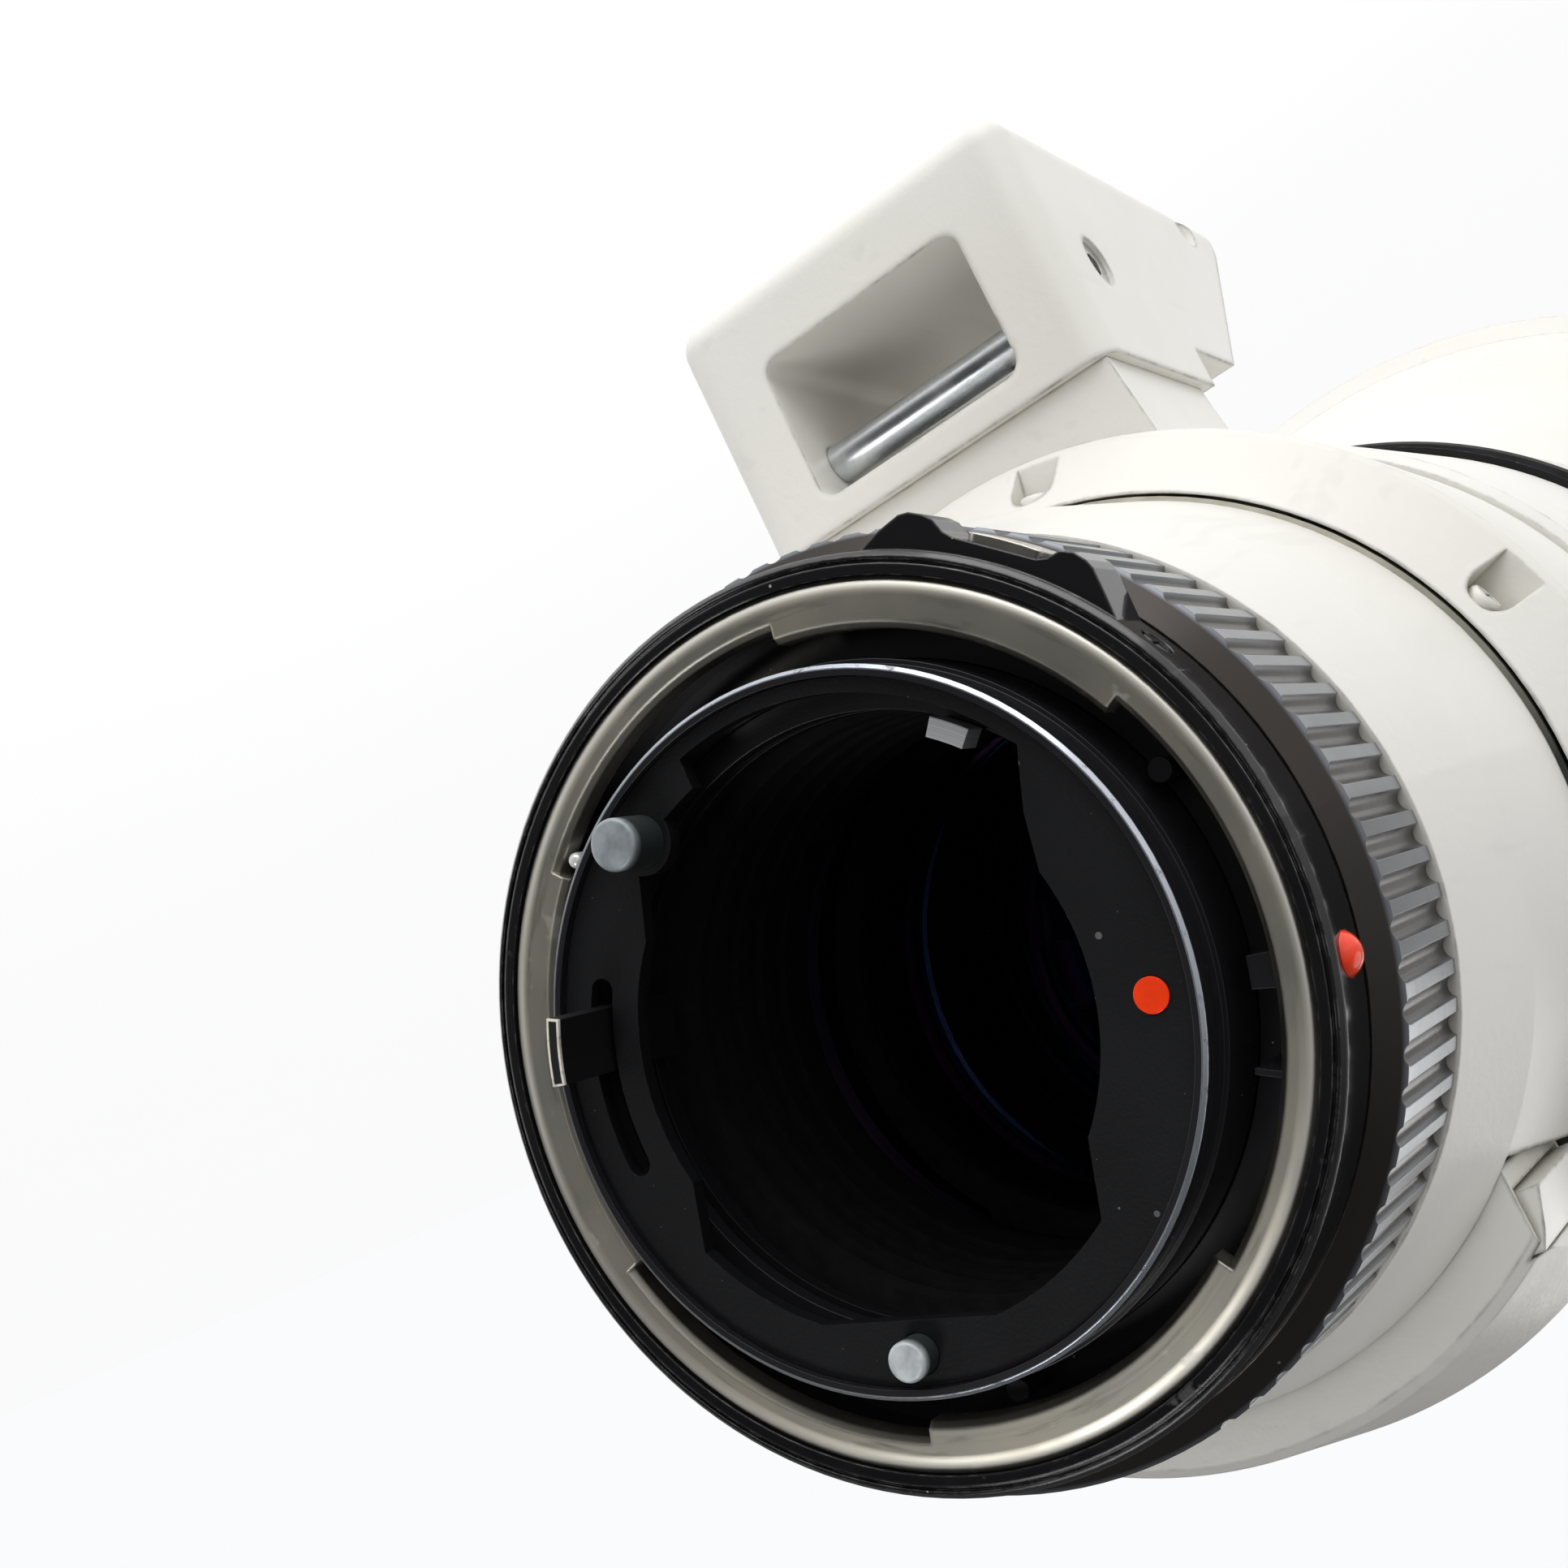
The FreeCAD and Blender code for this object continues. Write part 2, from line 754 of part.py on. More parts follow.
def opening_outline(station):
    """Outline of the hole in the rear plate: straight runs and arcs between (angle, radius) corners."""
    corners = (
        (46.0, opening_small, False), (59.0, opening_middle, True),
        (87.6, opening_middle, False), (125.3, opening_middle, True),
        (154.0, opening_middle, False), (166.0, opening_small, True),
        (225.0, opening_small, False), (240.0, opening_middle, True),
        (259.8, opening_middle, False), (260.8, opening_large, True),
        (329.5, opening_large, False), (337.3, opening_corner, False),
        (348.0, opening_small, True),
    )
    edges = []
    for place, (angle, radius, rounded) in enumerate(corners):
        next_angle, next_radius, _ = corners[(place + 1) % len(corners)]
        if next_angle < angle:
            next_angle += 360
        start = spot(station, radius, angle)
        end = spot(station, next_radius, next_angle)
        if rounded:
            middle = spot(station, radius, (angle + next_angle) / 2)
            edges.append(Part.Arc(start, middle, end).toShape())
        else:
            edges.append(Part.LineSegment(start, end).toShape())
    return Part.Face(Part.Wire(edges))


def arc_slot(rear, front, place, width, start, end):
    """Slot that follows a circle about the axis, with round ends."""
    cutter = ring(rear, front, place - width / 2, place + width / 2, start, end - start)
    for angle in (start, end):
        cutter = cutter.fuse(rod(width / 2, spot(rear, place, angle), spot(front, place, angle)))
    return cutter


def mount_plate():
    """Textured plate with the shaped opening, the lever's slot and the pins' holes."""
    solid = disc(plate_rear, plate_front, plate_lip - seat_gap)
    opening = opening_outline(plate_rear - past).extrude(X_AXIS * (plate_thickness + 2 * past))
    land = rod(full_pin_land, spot(plate_rear - past, full_pin_place, full_pin_angle),
               spot(plate_front + past, full_pin_place, full_pin_angle))
    solid = solid.cut(opening.cut(land))
    slot_start = stopdown_angle - stopdown_width / 2 - stopdown_turn - slot_start_margin
    slot_end = stopdown_angle + stopdown_width / 2 + slot_end_margin
    slot = arc_slot(plate_rear - past, plate_front + past, stopdown_place, slot_width, slot_start, slot_end)
    solid = solid.cut(slot)
    holes = (
        (full_pin_tail + seat_gap, full_pin_place, full_pin_angle),
        (program_pin_radius + run_gap, program_pin_place, program_pin_angle),
    )
    for radius, place, angle in holes:
        hole = rod(radius, spot(plate_rear - past, place, angle), spot(plate_front + past, place, angle))
        solid = solid.cut(hole)
    dot = rod(index_dot_radius + seat_gap, spot(plate_rear - past, index_dot_place, index_dot_angle),
              spot(plate_rear + index_dot_depth, index_dot_place, index_dot_angle))
    return solid.cut(dot)


def index_dot():
    """Flat red index let into the rear plate."""
    return rod(index_dot_radius, spot(plate_rear - index_dot_height, index_dot_place, index_dot_angle),
               spot(plate_rear + index_dot_depth - seat_gap, index_dot_place, index_dot_angle))


def full_aperture_pin():
    """Long fixed pin that tells the camera the largest aperture, riveted through the plate."""
    pin = rod(full_pin_radius, spot(-full_pin_reach, full_pin_place, full_pin_angle),
              spot(plate_rear, full_pin_place, full_pin_angle))
    pin = round_end(pin, -full_pin_reach, pin_round)
    tail = rod(full_pin_tail, spot(plate_rear, full_pin_place, full_pin_angle),
               spot(plate_front, full_pin_place, full_pin_angle))
    return pin.fuse(tail)


def program_pin():
    """Short sliding pin that tells the camera that the ring is set to automatic."""
    pin = rod(program_pin_radius, spot(-program_pin_reach, program_pin_place, program_pin_angle),
              spot(program_pin_inner, program_pin_place, program_pin_angle))
    return round_end(pin, -program_pin_reach, pin_round)


def signal_lever():
    """Lever on a thin ring that tells the camera the chosen aperture."""
    front = signal_ring_station + lever_ring_thickness
    hoop = ring(signal_ring_station, front, lever_ring_bore, lever_ring_radius)
    tab = ring(-signal_reach, front, signal_inner, signal_outer,
               signal_angle - signal_width / 2, signal_width)
    return hoop.fuse(tab).removeSplitter()


def stopdown_lever():
    """Lever on a thin ring that the camera pushes to close the iris."""
    front = stopdown_ring_station + lever_ring_thickness
    half = stopdown_thickness / 2
    hoop = ring(stopdown_ring_station, front, lever_ring_bore, lever_ring_radius)
    blade = ring(-stopdown_reach, front, stopdown_place - half, stopdown_place + half,
                 stopdown_angle - stopdown_width / 2, stopdown_width)
    arm = ring(stopdown_ring_station, front, stopdown_place - half, lever_ring_bore + half,
               stopdown_angle - stopdown_width / 2, stopdown_width)
    return hoop.fuse(arm).fuse(blade).removeSplitter()


def aperture_ring():
    """Black ring with a bevelled rear edge, round-ended flutes and a smooth zone for its numbers."""
    solid = turned((
        (aperture_rear, mount_base_radius + run_gap),
        (aperture_rear, aperture_edge_radius),
        (aperture_rear + aperture_bevel, aperture_radius),
        (aperture_front, aperture_radius),
        (aperture_front, mount_base_radius + run_gap),
    ))
    place_radius = aperture_radius + flute_radius - flute_depth
    pitch = 360 / flute_count
    cutters = []
    for place in range(flute_count):
        angle = place * pitch + flute_offset
        if scale_zone_start < angle < scale_zone_end:
            continue
        start = spot(flute_start, place_radius, angle)
        flute = rod(flute_radius, start, spot(aperture_front + past, place_radius, angle))
        cutters.append(flute.fuse(Part.makeSphere(flute_radius, start)))
    return solid.cut(cutters)


def beside(half_width, rear, front, height):
    """Block above the axis that bounds the drawer's width."""
    return block((rear, -half_width, 0), (front, half_width, height))


def rear_tube():
    """White tube behind the collar, with the bulkhead, the drawer's pocket and its slot."""
    solid = turned((
        (rear_tube_rear, band_bore),
        (rear_tube_rear, rear_tube_small),
        (rear_tube_shoulder, rear_tube_shoulder_radius),
        (rear_tube_front, rear_tube_large),
        (rear_tube_front, rear_tube_bore),
        (rear_tube_shoulder, rear_tube_bore),
        (rear_tube_shoulder, bulkhead_bore),
        (bulkhead_rear + seat_gap, bulkhead_bore),
        (bulkhead_rear + seat_gap, band_bore),
    ))
    pocket_width = drawer_half_width + drawer_side_gap
    pocket = beside(pocket_width, rear_tube_shoulder, rear_tube_front + past, collar_radius)
    pocket = pocket.cut(disc(0, collar_rear, drawer_floor))
    half = frame_thickness / 2 + slide_gap
    slot = beside(frame_radius + slide_gap, frame_centre - half, frame_centre + half, collar_radius)
    return solid.cut(pocket).cut(slot)


def rear_baffle():
    """Black stepped tube that stops stray light behind the rear plate."""
    outer = baffle_bore + baffle_wall
    solid = ring(baffle_start, bulkhead_rear, baffle_bore, outer)
    for place in range(baffle_count):
        station = baffle_start + baffle_pitch * (place + 0.5)
        solid = solid.cut(ring(station, station + baffle_pitch / 2, 0, baffle_bore + baffle_groove))
    return solid


def drawer_cover():
    """White curved cover of the filter drawer with a recess for each latch."""
    solid = turned((
        (drawer_rear, drawer_under),
        (drawer_rear, drawer_rear_radius - drawer_round),
        (drawer_rear + drawer_round, drawer_rear_radius),
        (drawer_front, drawer_front_radius),
        (drawer_front, drawer_under),
    ))
    solid = solid.common(beside(drawer_half_width, 0, collar_front, collar_radius * 2))
    gap = latch_end_gap - button_margin
    for side in (-1, 1):
        inner = side * (latch_inner - latch_travel - slide_gap)
        outer = side * (drawer_half_width + past)
        points = [
            FreeCAD.Vector(drawer_rear + gap, inner, latch_bottom - slide_gap),
            FreeCAD.Vector(drawer_rear + gap, outer, latch_bottom - slide_gap),
            FreeCAD.Vector(drawer_rear + gap, outer, latch_top + button_margin),
            FreeCAD.Vector(drawer_rear + gap, inner, latch_top + button_margin),
        ]
        solid = solid.cut(prism(points, X_AXIS * (drawer_front - drawer_rear - 2 * gap)))
    return solid


def drawer_latch(side):
    """Wedge-shaped push latch in one side of the drawer's cover."""
    corners = (
        (latch_inner, latch_inner_bottom), (latch_heel, latch_bottom), (latch_reach, latch_bottom),
        (latch_corner_reach, latch_corner), (drawer_half_width, latch_top), (latch_inner, latch_top),
    )
    rear = drawer_rear + latch_end_gap
    points = [FreeCAD.Vector(rear, side * y, z) for y, z in corners]
    return prism(points, X_AXIS * (drawer_front - drawer_rear - 2 * latch_end_gap))


def drawer_frame():
    """Frame of the filter drawer, with the neck that hangs it from the cover."""
    rear = frame_centre - frame_thickness / 2
    front = frame_centre + frame_thickness / 2
    solid = disc(rear, front, frame_radius)
    neck = block((rear, -frame_neck, 0), (front, frame_neck, drawer_under))
    solid = solid.fuse(neck).common(disc(rear, front, drawer_under - seat_gap))
    solid = solid.cut(disc(rear - past, front + past, frame_bore))
    half = filter_thickness / 2 + seat_gap
    seat = disc(frame_centre - half, frame_centre + half, filter_radius + seat_gap)
    return solid.cut(seat).removeSplitter()


def drop_in_filter():
    """Flat filter glass in the drawer's frame."""
    return disc(frame_centre - filter_thickness / 2, frame_centre + filter_thickness / 2, filter_radius)


def main_tube():
    """Metal tube that everything in front of the drawer is built on."""
    solid = turned((
        (spigot_rear, spigot_bore),
        (spigot_rear, rear_tube_bore - seat_gap),
        (rear_tube_front, rear_tube_bore - seat_gap),
        (rear_tube_front, main_tube_radius),
        (main_tube_front, main_tube_radius),
        (main_tube_front, main_tube_bore),
        (collar_rear, main_tube_bore),
        (collar_rear, spigot_bore),
    ))
    station = focus_cell_rear + focus_cell_length / 2
    for place in range(focus_pin_count):
        angle = focus_pin_angle(place)
        half = focus_pin_radius + run_gap
        ends = (station, station + focus_travel)
        low = main_tube_bore - past
        high = main_tube_radius + past
        slot = block((ends[0], low, -half), (ends[1], high, half))
        for end in ends:
            slot = slot.fuse(rod(half, FreeCAD.Vector(end, low, 0), FreeCAD.Vector(end, high, 0)))
        slot.rotate(ORIGIN, X_AXIS, angle)
        solid = solid.cut(slot)
    return solid


def focus_pin_angle(place):
    """Angle of one of the pins that guide the focusing cell."""
    return 90 + place * 360 / focus_pin_count


def pocket_angle(place):
    """Angle of one of the collar's screw pockets."""
    return pocket_first_angle + place * 360 / pocket_count


def collar_ring():
    """White tripod collar with its pedestal, screw pockets and knob boss."""
    solid = turned((
        (collar_rear, collar_lip),
        (collar_rear, collar_rear_radius),
        (collar_shoulder, collar_radius - collar_shoulder_step),
        (collar_shoulder + 2 * collar_shoulder_step, collar_radius),
        (collar_front - collar_front_bevel, collar_radius),
        (collar_front, collar_radius - collar_front_bevel),
        (collar_front, collar_bore),
        (collar_rear + collar_lip_width, collar_bore),
        (collar_rear + collar_lip_width, collar_lip),
    ))
    points = [
        FreeCAD.Vector(pedestal_rear, -pedestal_root_half_width, -pedestal_top),
        FreeCAD.Vector(pedestal_rear, -pedestal_half_width, -foot_seam),
        FreeCAD.Vector(pedestal_rear, pedestal_half_width, -foot_seam),
        FreeCAD.Vector(pedestal_rear, pedestal_root_half_width, -pedestal_top),
    ]
    pedestal = prism(points, X_AXIS * (pedestal_front - pedestal_rear))
    boss = rod(knob_boss_radius, knob_point(collar_bore), knob_point(knob_boss_top))
    lugs = [rod(lug_foot_radius, spot(lug_station, collar_bore + past, angle),
                spot(lug_station, collar_radius + lug_foot_height, angle)) for angle in lug_angles]
    solid = solid.fuse([pedestal, boss] + lugs)
    solid = solid.cut(disc(collar_rear + collar_lip_width, collar_front + past, collar_bore))
    solid = solid.cut(rod(stud_radius + run_gap, knob_point(collar_bore - past),
                          knob_point(knob_boss_top + past)))
    for place in range(pocket_count):
        solid = solid.cut(collar_pocket(pocket_angle(place)))
    for angle in lug_angles:
        tail_end = collar_radius - lug_tail_depth - seat_gap
        solid = solid.cut(rod(lug_tail_radius + seat_gap, spot(lug_station, tail_end, angle),
                              spot(lug_station, collar_radius + past, angle)))
    for station in rail_screw_stations():
        solid = solid.cut(rail_screw(station, seat_gap))
    return solid.removeSplitter()


def collar_pocket(angle):
    """Pocket in the collar's rear shoulder: round at the rear and square in front."""
    half = pocket_width / 2
    cutter = block((pocket_rear + half, -half, pocket_floor), (pocket_front, half, collar_radius + past))
    cutter = cutter.fuse(rod(half, FreeCAD.Vector(pocket_rear + half, 0, pocket_floor),
                             FreeCAD.Vector(pocket_rear + half, 0, collar_radius + past)))
    hole = rod(pocket_screw_shank + seat_gap,
               FreeCAD.Vector(pocket_rear + half, 0, pocket_floor - pocket_screw_depth - seat_gap),
               FreeCAD.Vector(pocket_rear + half, 0, pocket_floor))
    cutter = cutter.fuse(hole)
    cutter.rotate(ORIGIN, X_AXIS, angle - 90)
    return cutter


def collar_screws():
    """Six screws in the collar's pockets."""
    screws = []
    station = pocket_rear + pocket_width / 2
    for place in range(pocket_count):
        angle = pocket_angle(place)
        head = rod(pocket_screw_head, spot(station, pocket_floor, angle),
                   spot(station, pocket_floor + pocket_screw_height, angle))
        shank = rod(pocket_screw_shank, spot(station, pocket_floor - pocket_screw_depth, angle),
                    spot(station, pocket_floor, angle))
        screws.append(head.fuse(shank))
    return Part.makeCompound(screws)


def collar_lining():
    """Slippery liner that the main tube turns in."""
    return ring(collar_rear + collar_lip_width + seat_gap, collar_front - lining_inset,
                main_tube_radius + run_gap, collar_bore - seat_gap)


def knob_point(radius):
    """Point on the lock knob's axis."""
    return spot(knob_station, radius, knob_angle)


def collar_lock_knob():
    """Grooved knob that clamps the collar."""
    base = knob_boss_top + knob_gap
    top = base + knob_height
    solid = rod(knob_radius, knob_point(base), knob_point(top))
    rims = [edge for edge in solid.Edges if edge.isClosed()]
    solid = solid.makeChamfer(knob_bevel, rims)
    place = knob_radius + knob_groove_radius - knob_groove_depth
    cutters = []
    for groove in range(knob_grooves):
        turn = math.radians(groove * 360 / knob_grooves)
        side = X_AXIS * (place * math.cos(turn)) + outward(knob_angle + 90) * (place * math.sin(turn))
        start = knob_point(base - past) + side
        cutters.append(rod(knob_groove_radius, start, knob_point(top + past) + side))
    solid = solid.cut(cutters)
    socket = rod(stud_radius + seat_gap, knob_point(base - past), knob_point(base + stud_grip + seat_gap))
    return solid.cut(socket)


def collar_lock_stud():
    """Threaded stud under the knob that presses on the liner."""
    end = knob_boss_top + knob_gap + stud_grip
    return rod(stud_radius, knob_point(collar_bore + stud_tip_gap), knob_point(end))


def strap_lug(angle):
    """Eye for a carrying strap on a short post."""
    centre = collar_radius + lug_stand_off
    half = lug_thickness / 2
    eye = rod(lug_ring_radius, FreeCAD.Vector(lug_station, centre, -half),
              FreeCAD.Vector(lug_station, centre, half))
    eye = eye.cut(rod(lug_eye_radius, FreeCAD.Vector(lug_station, centre, -half - past),
                      FreeCAD.Vector(lug_station, centre, half + past)))
    post = rod(lug_post_radius, spot(lug_station, collar_radius + lug_foot_height, 0),
               spot(lug_station, centre - lug_eye_radius - past, 0))
    tail = rod(lug_tail_radius, spot(lug_station, collar_radius - lug_tail_depth, 0),
               spot(lug_station, collar_radius + lug_foot_height + past, 0))
    lug = eye.fuse(post).fuse(tail).removeSplitter()
    lug.rotate(ORIGIN, X_AXIS, angle)
    return lug


def rail_screw_stations():
    """Stations of the screws that hold the foot rail."""
    middle = (pedestal_rear + pedestal_front) / 2 + rail_screw_offset
    first = middle - rail_screw_spacing * (rail_screw_count - 1) / 2
    return [first + rail_screw_spacing * place for place in range(rail_screw_count)]


def rail_screw(station, gap):
    """Socket screw of the foot rail, or its hole when gap is the clearance."""
    head_top = -foot_seam - rail_depth
    head = rod(rail_screw_head + gap, FreeCAD.Vector(station, 0, head_top - gap),
               FreeCAD.Vector(station, 0, head_top + rail_screw_head_depth + gap))
    shank_top = head_top + rail_screw_head_depth + rail_screw_length + gap
    shank = rod(rail_screw_shank + gap, FreeCAD.Vector(station, 0, head_top),
                FreeCAD.Vector(station, 0, shank_top))
    return head.fuse(shank)


def foot_rail():
    """Steel rail under the pedestal that the foot is clamped to."""
    solid = block((pedestal_rear + rail_inset, -rail_half_width, -foot_seam - rail_depth),
                  (pedestal_front - rail_inset, rail_half_width, -foot_seam))
    for station in rail_screw_stations():
        solid = solid.cut(rail_screw(station, seat_gap))
    return solid


def foot_screws():
    """Screws of the foot rail and the screw in the foot's side."""
    screws = []
    for station in rail_screw_stations():
        head_top = -foot_seam - rail_depth
        socket = rod(rail_screw_head / 2, FreeCAD.Vector(station, 0, head_top - past),
                     FreeCAD.Vector(station, 0, head_top + rail_screw_head_depth / 2))
        screws.append(rail_screw(station, 0).cut(socket))
    face = foot_half_width - side_screw_sink
    socket_floor = face - side_screw_depth / 2
    socket = rod(side_screw_socket, FreeCAD.Vector(side_screw_station, socket_floor, -side_screw_drop),
                 FreeCAD.Vector(side_screw_station, face + past, -side_screw_drop))
    screws.append(side_screw(0).cut(socket))
    return Part.makeCompound(screws)


def foot_block():
    """White foot with a window right through it, a cross-bolt and two tripod bushes."""
    corners = (
        (foot_rear, foot_seam), (foot_saddle_front, foot_seam), (foot_saddle_front, foot_step),
        (foot_front_top, foot_step), (foot_front, foot_base), (foot_rear, foot_base),
    )
    points = [FreeCAD.Vector(x, -foot_half_width, -drop) for x, drop in corners]
    solid = prism(points, Y_AXIS * (2 * foot_half_width))
    outer = []
    for edge in solid.Edges:
        middle = edge.CenterOfMass
        at_base = abs(middle.z + foot_base) < 0.01
        at_rear_side = abs(middle.x - foot_rear) < 0.01 and abs(middle.y) > window_half_width
        if at_base or at_rear_side:
            outer.append(edge)
    solid = solid.makeFillet(foot_round, outer)
    window = block((foot_rear - past, -window_half_width, -window_bottom),
                   (foot_front + past, window_half_width, -window_top))
    runs = [edge for edge in window.Edges if abs(edge.CenterOfMass.y) > window_half_width - 0.01
            and abs(edge.CenterOfMass.z + (window_top + window_bottom) / 2) > window_round]
    solid = solid.cut(window.makeFillet(window_round, runs))
    slot = block((pedestal_rear + rail_inset - rail_gap, -rail_half_width - rail_gap, -window_top - past),
                 (pedestal_front - rail_inset + rail_gap, rail_half_width + rail_gap, -foot_seam + past))
    solid = solid.cut(slot)
    for station, radius in tripod_threads():
        solid = solid.cut(rod(radius + bush_wall + seat_gap, FreeCAD.Vector(station, 0, -foot_base - past),
                              FreeCAD.Vector(station, 0, -foot_base + bush_length + seat_gap)))
    solid = solid.cut(cross_bolt(seat_gap)).cut(side_screw(seat_gap))
    notch_end = foot_half_width - foot_notch_width
    notch = rod(foot_notch_radius, FreeCAD.Vector(foot_notch_station, notch_end, -foot_notch_drop),
                FreeCAD.Vector(foot_notch_station, foot_half_width + past, -foot_notch_drop))
    return solid.cut(notch).removeSplitter()


def tripod_threads():
    """Station and radius of each tripod thread."""
    return ((thread_station, thread_radius), (thread_station + thread_spacing, small_thread_radius))


def tripod_bush(station, radius):
    """Threaded steel bush pressed into the foot."""
    mouth = -foot_base
    end = mouth + bush_length
    bush = rod(radius + bush_wall, FreeCAD.Vector(station, 0, mouth), FreeCAD.Vector(station, 0, end))
    thread = rod(radius, FreeCAD.Vector(station, 0, mouth - past), FreeCAD.Vector(station, 0, end + past))
    return bush.cut(thread)


def cross_bolt(gap):
    """Steel pin across the foot, or its hole when gap is the clearance."""
    start = -foot_half_width - past if gap else cross_bolt_inset - foot_half_width
    end = foot_half_width - cross_bolt_end_wall + gap
    return rod(cross_bolt_radius + gap, FreeCAD.Vector(cross_bolt_station, start, -cross_bolt_drop),
               FreeCAD.Vector(cross_bolt_station, end, -cross_bolt_drop))


def side_screw(gap):
    """Screw in the side of the foot, or its hole when gap is the clearance."""
    face = foot_half_width if gap else foot_half_width - side_screw_sink
    seat = foot_half_width - side_screw_depth
    end = foot_half_width - side_screw_length - gap
    head = rod(side_screw_head + gap, FreeCAD.Vector(side_screw_station, seat - gap, -side_screw_drop),
               FreeCAD.Vector(side_screw_station, face + gap, -side_screw_drop))
    shank = rod(side_screw_shank + gap, FreeCAD.Vector(side_screw_station, end, -side_screw_drop),
                FreeCAD.Vector(side_screw_station, seat, -side_screw_drop))
    return head.fuse(shank)


def mid_shell():
    """White shell in front of the collar with the seat that the focusing ring turns on."""
    bore = main_tube_radius + seat_gap
    return turned((
        (mid_shell_rear, bore),
        (mid_shell_rear, mid_shell_radius - mid_shell_bevel),
        (mid_shell_rear + mid_shell_bevel, mid_shell_radius),
        (mid_shell_front, mid_shell_front_radius),
        (mid_shell_front, focus_seat),
        (focus_front + seat_gap, focus_seat),
        (focus_front + seat_gap, bore),
        (mid_relief_front, bore),
        (mid_relief_front, mid_relief_radius),
        (mid_relief_rear, mid_relief_radius),
        (mid_relief_rear, bore),
    ))


def focus_ring():
    """Black metal ring with a raised lip for its distance numbers."""
    bore = focus_seat + run_gap
    lip_front = focus_rear + focus_lip_width
    return turned((
        (focus_rear, bore), (focus_rear, focus_lip_radius), (lip_front, focus_lip_radius),
        (lip_front, focus_ring_radius), (focus_front, focus_ring_radius), (focus_front, bore),
    ))


def focus_grip():
    """Rubber sleeve of the focusing ring with grooves round it."""
    rear = focus_rear + focus_lip_width + seat_gap
    front = focus_front - seat_gap
    solid = ring(rear, front, focus_ring_radius + seat_gap, grip_radius)
    pitch = (front - rear) / (grip_groove_count + 1)
    for place in range(grip_groove_count):
        station = rear + pitch * (place + 1)
        solid = solid.cut(ring(station - grip_groove_width / 2, station + grip_groove_width / 2,
                               grip_radius - grip_groove_depth, grip_radius + past))
    return solid


def focus_cell():
    """Cell of the focusing elements with the pins that guide it."""
    front = focus_cell_rear + focus_cell_length
    solid = turned((
        (focus_cell_rear, focus_cell_lip),
        (focus_cell_rear, main_tube_bore - run_gap),
        (front, main_tube_bore - run_gap),
        (front, focus_glass_radius + seat_gap),
        (focus_cell_rear + focus_cell_floor, focus_glass_radius + seat_gap),
        (focus_cell_rear + focus_cell_floor, focus_cell_lip),
    ))
    station = focus_cell_rear + focus_cell_length / 2
    for place in range(focus_pin_count):
        angle = focus_pin_angle(place)
        solid = solid.fuse(rod(focus_pin_radius, spot(station, main_tube_bore - focus_pin_depth, angle),
                               spot(station, focus_pin_end, angle)))
    return solid


def focus_elements():
    """Two focusing elements, a little apart."""
    rear_seat = focus_cell_rear + focus_cell_floor + seat_gap
    front_seat = rear_seat + focus_rear_edge + focus_glass_space
    rear = glass(rear_seat, focus_rear_edge, focus_glass_radius, focus_rear_sag, focus_rear_back_sag,
                 focus_glass_land)
    front = glass(front_seat, focus_front_edge, focus_glass_radius, focus_front_sag, focus_front_back_sag,
                  focus_glass_land)
    return Part.makeCompound([rear, front])


def cone_barrel():
    """White flared barrel in front of the focusing ring."""
    slope = (cone_front_radius - cone_rear_radius) / (cone_front - cone_start)
    bore = main_tube_radius + seat_gap
    flange = cone_front - drum_web
    return turned((
        (cone_rear, bore),
        (cone_rear, cone_rear_radius - cone_bevel),
        (cone_rear + cone_bevel, cone_rear_radius),
        (cone_start, cone_rear_radius),
        (cone_front, cone_front_radius),
        (cone_front, drum_web_radius),
        (flange, drum_web_radius),
        (flange, cone_front_radius - slope * drum_web - shell_wall),
        (cone_start, cone_rear_radius - shell_wall),
        (cone_rear + cone_web, cone_rear_radius - shell_wall),
        (cone_rear + cone_web, bore),
    ))


def front_drum():
    """White drum round the front lens group."""
    inner = drum_radius - shell_wall
    return turned((
        (cone_front, drum_web_radius),
        (cone_front, cone_front_radius),
        (cone_front + drum_bevel, drum_radius),
        (drum_front, drum_radius),
        (drum_front, inner),
        (cone_front + drum_web, inner),
        (cone_front + drum_web, drum_web_radius),
    ))


def front_ring():
    """Black ring at the front with the seat and groove for a hood."""
    solid = turned((
        (drum_front, front_ring_bore),
        (drum_front, front_ring_radius),
        (front_ring_end - front_ring_bevel, front_ring_radius),
        (front_ring_end, front_ring_radius - front_ring_bevel),
        (front_ring_end, front_ring_mouth),
        (drum_front + front_ring_land, front_ring_bore),
    ))
    return solid.cut(ring(hood_groove_station, hood_groove_station + hood_groove_width,
                          front_ring_radius - hood_groove_depth, front_ring_radius + past))


def front_cell():
    """Metal cell of the front lens group."""
    outer = drum_radius - shell_wall - seat_gap
    return turned((
        (front_cell_rear, third_glass_radius + seat_gap),
        (front_cell_rear, outer),
        (front_cell_rear + front_cell_flange, outer),
        (front_cell_rear + front_cell_flange, outer - front_cell_wall_gap),
        (drum_front - front_cell_flange, outer - front_cell_wall_gap),
        (drum_front - front_cell_flange, outer),
        (drum_front, outer),
        (drum_front, front_glass_radius + seat_gap),
        (front_glass_seat, front_glass_radius + seat_gap),
        (front_glass_seat, second_glass_radius + seat_gap),
        (second_glass_seat, second_glass_radius + seat_gap),
        (second_glass_seat, front_cell_shoulder),
        (third_glass_front, front_cell_shoulder),
        (third_glass_front, third_glass_radius + seat_gap),
    ))


def front_spacer():
    """Ring that keeps the first two elements apart."""
    bore = second_glass_radius - spacer_wall
    return ring(second_glass_front + seat_gap, front_glass_seat, bore, second_glass_radius)


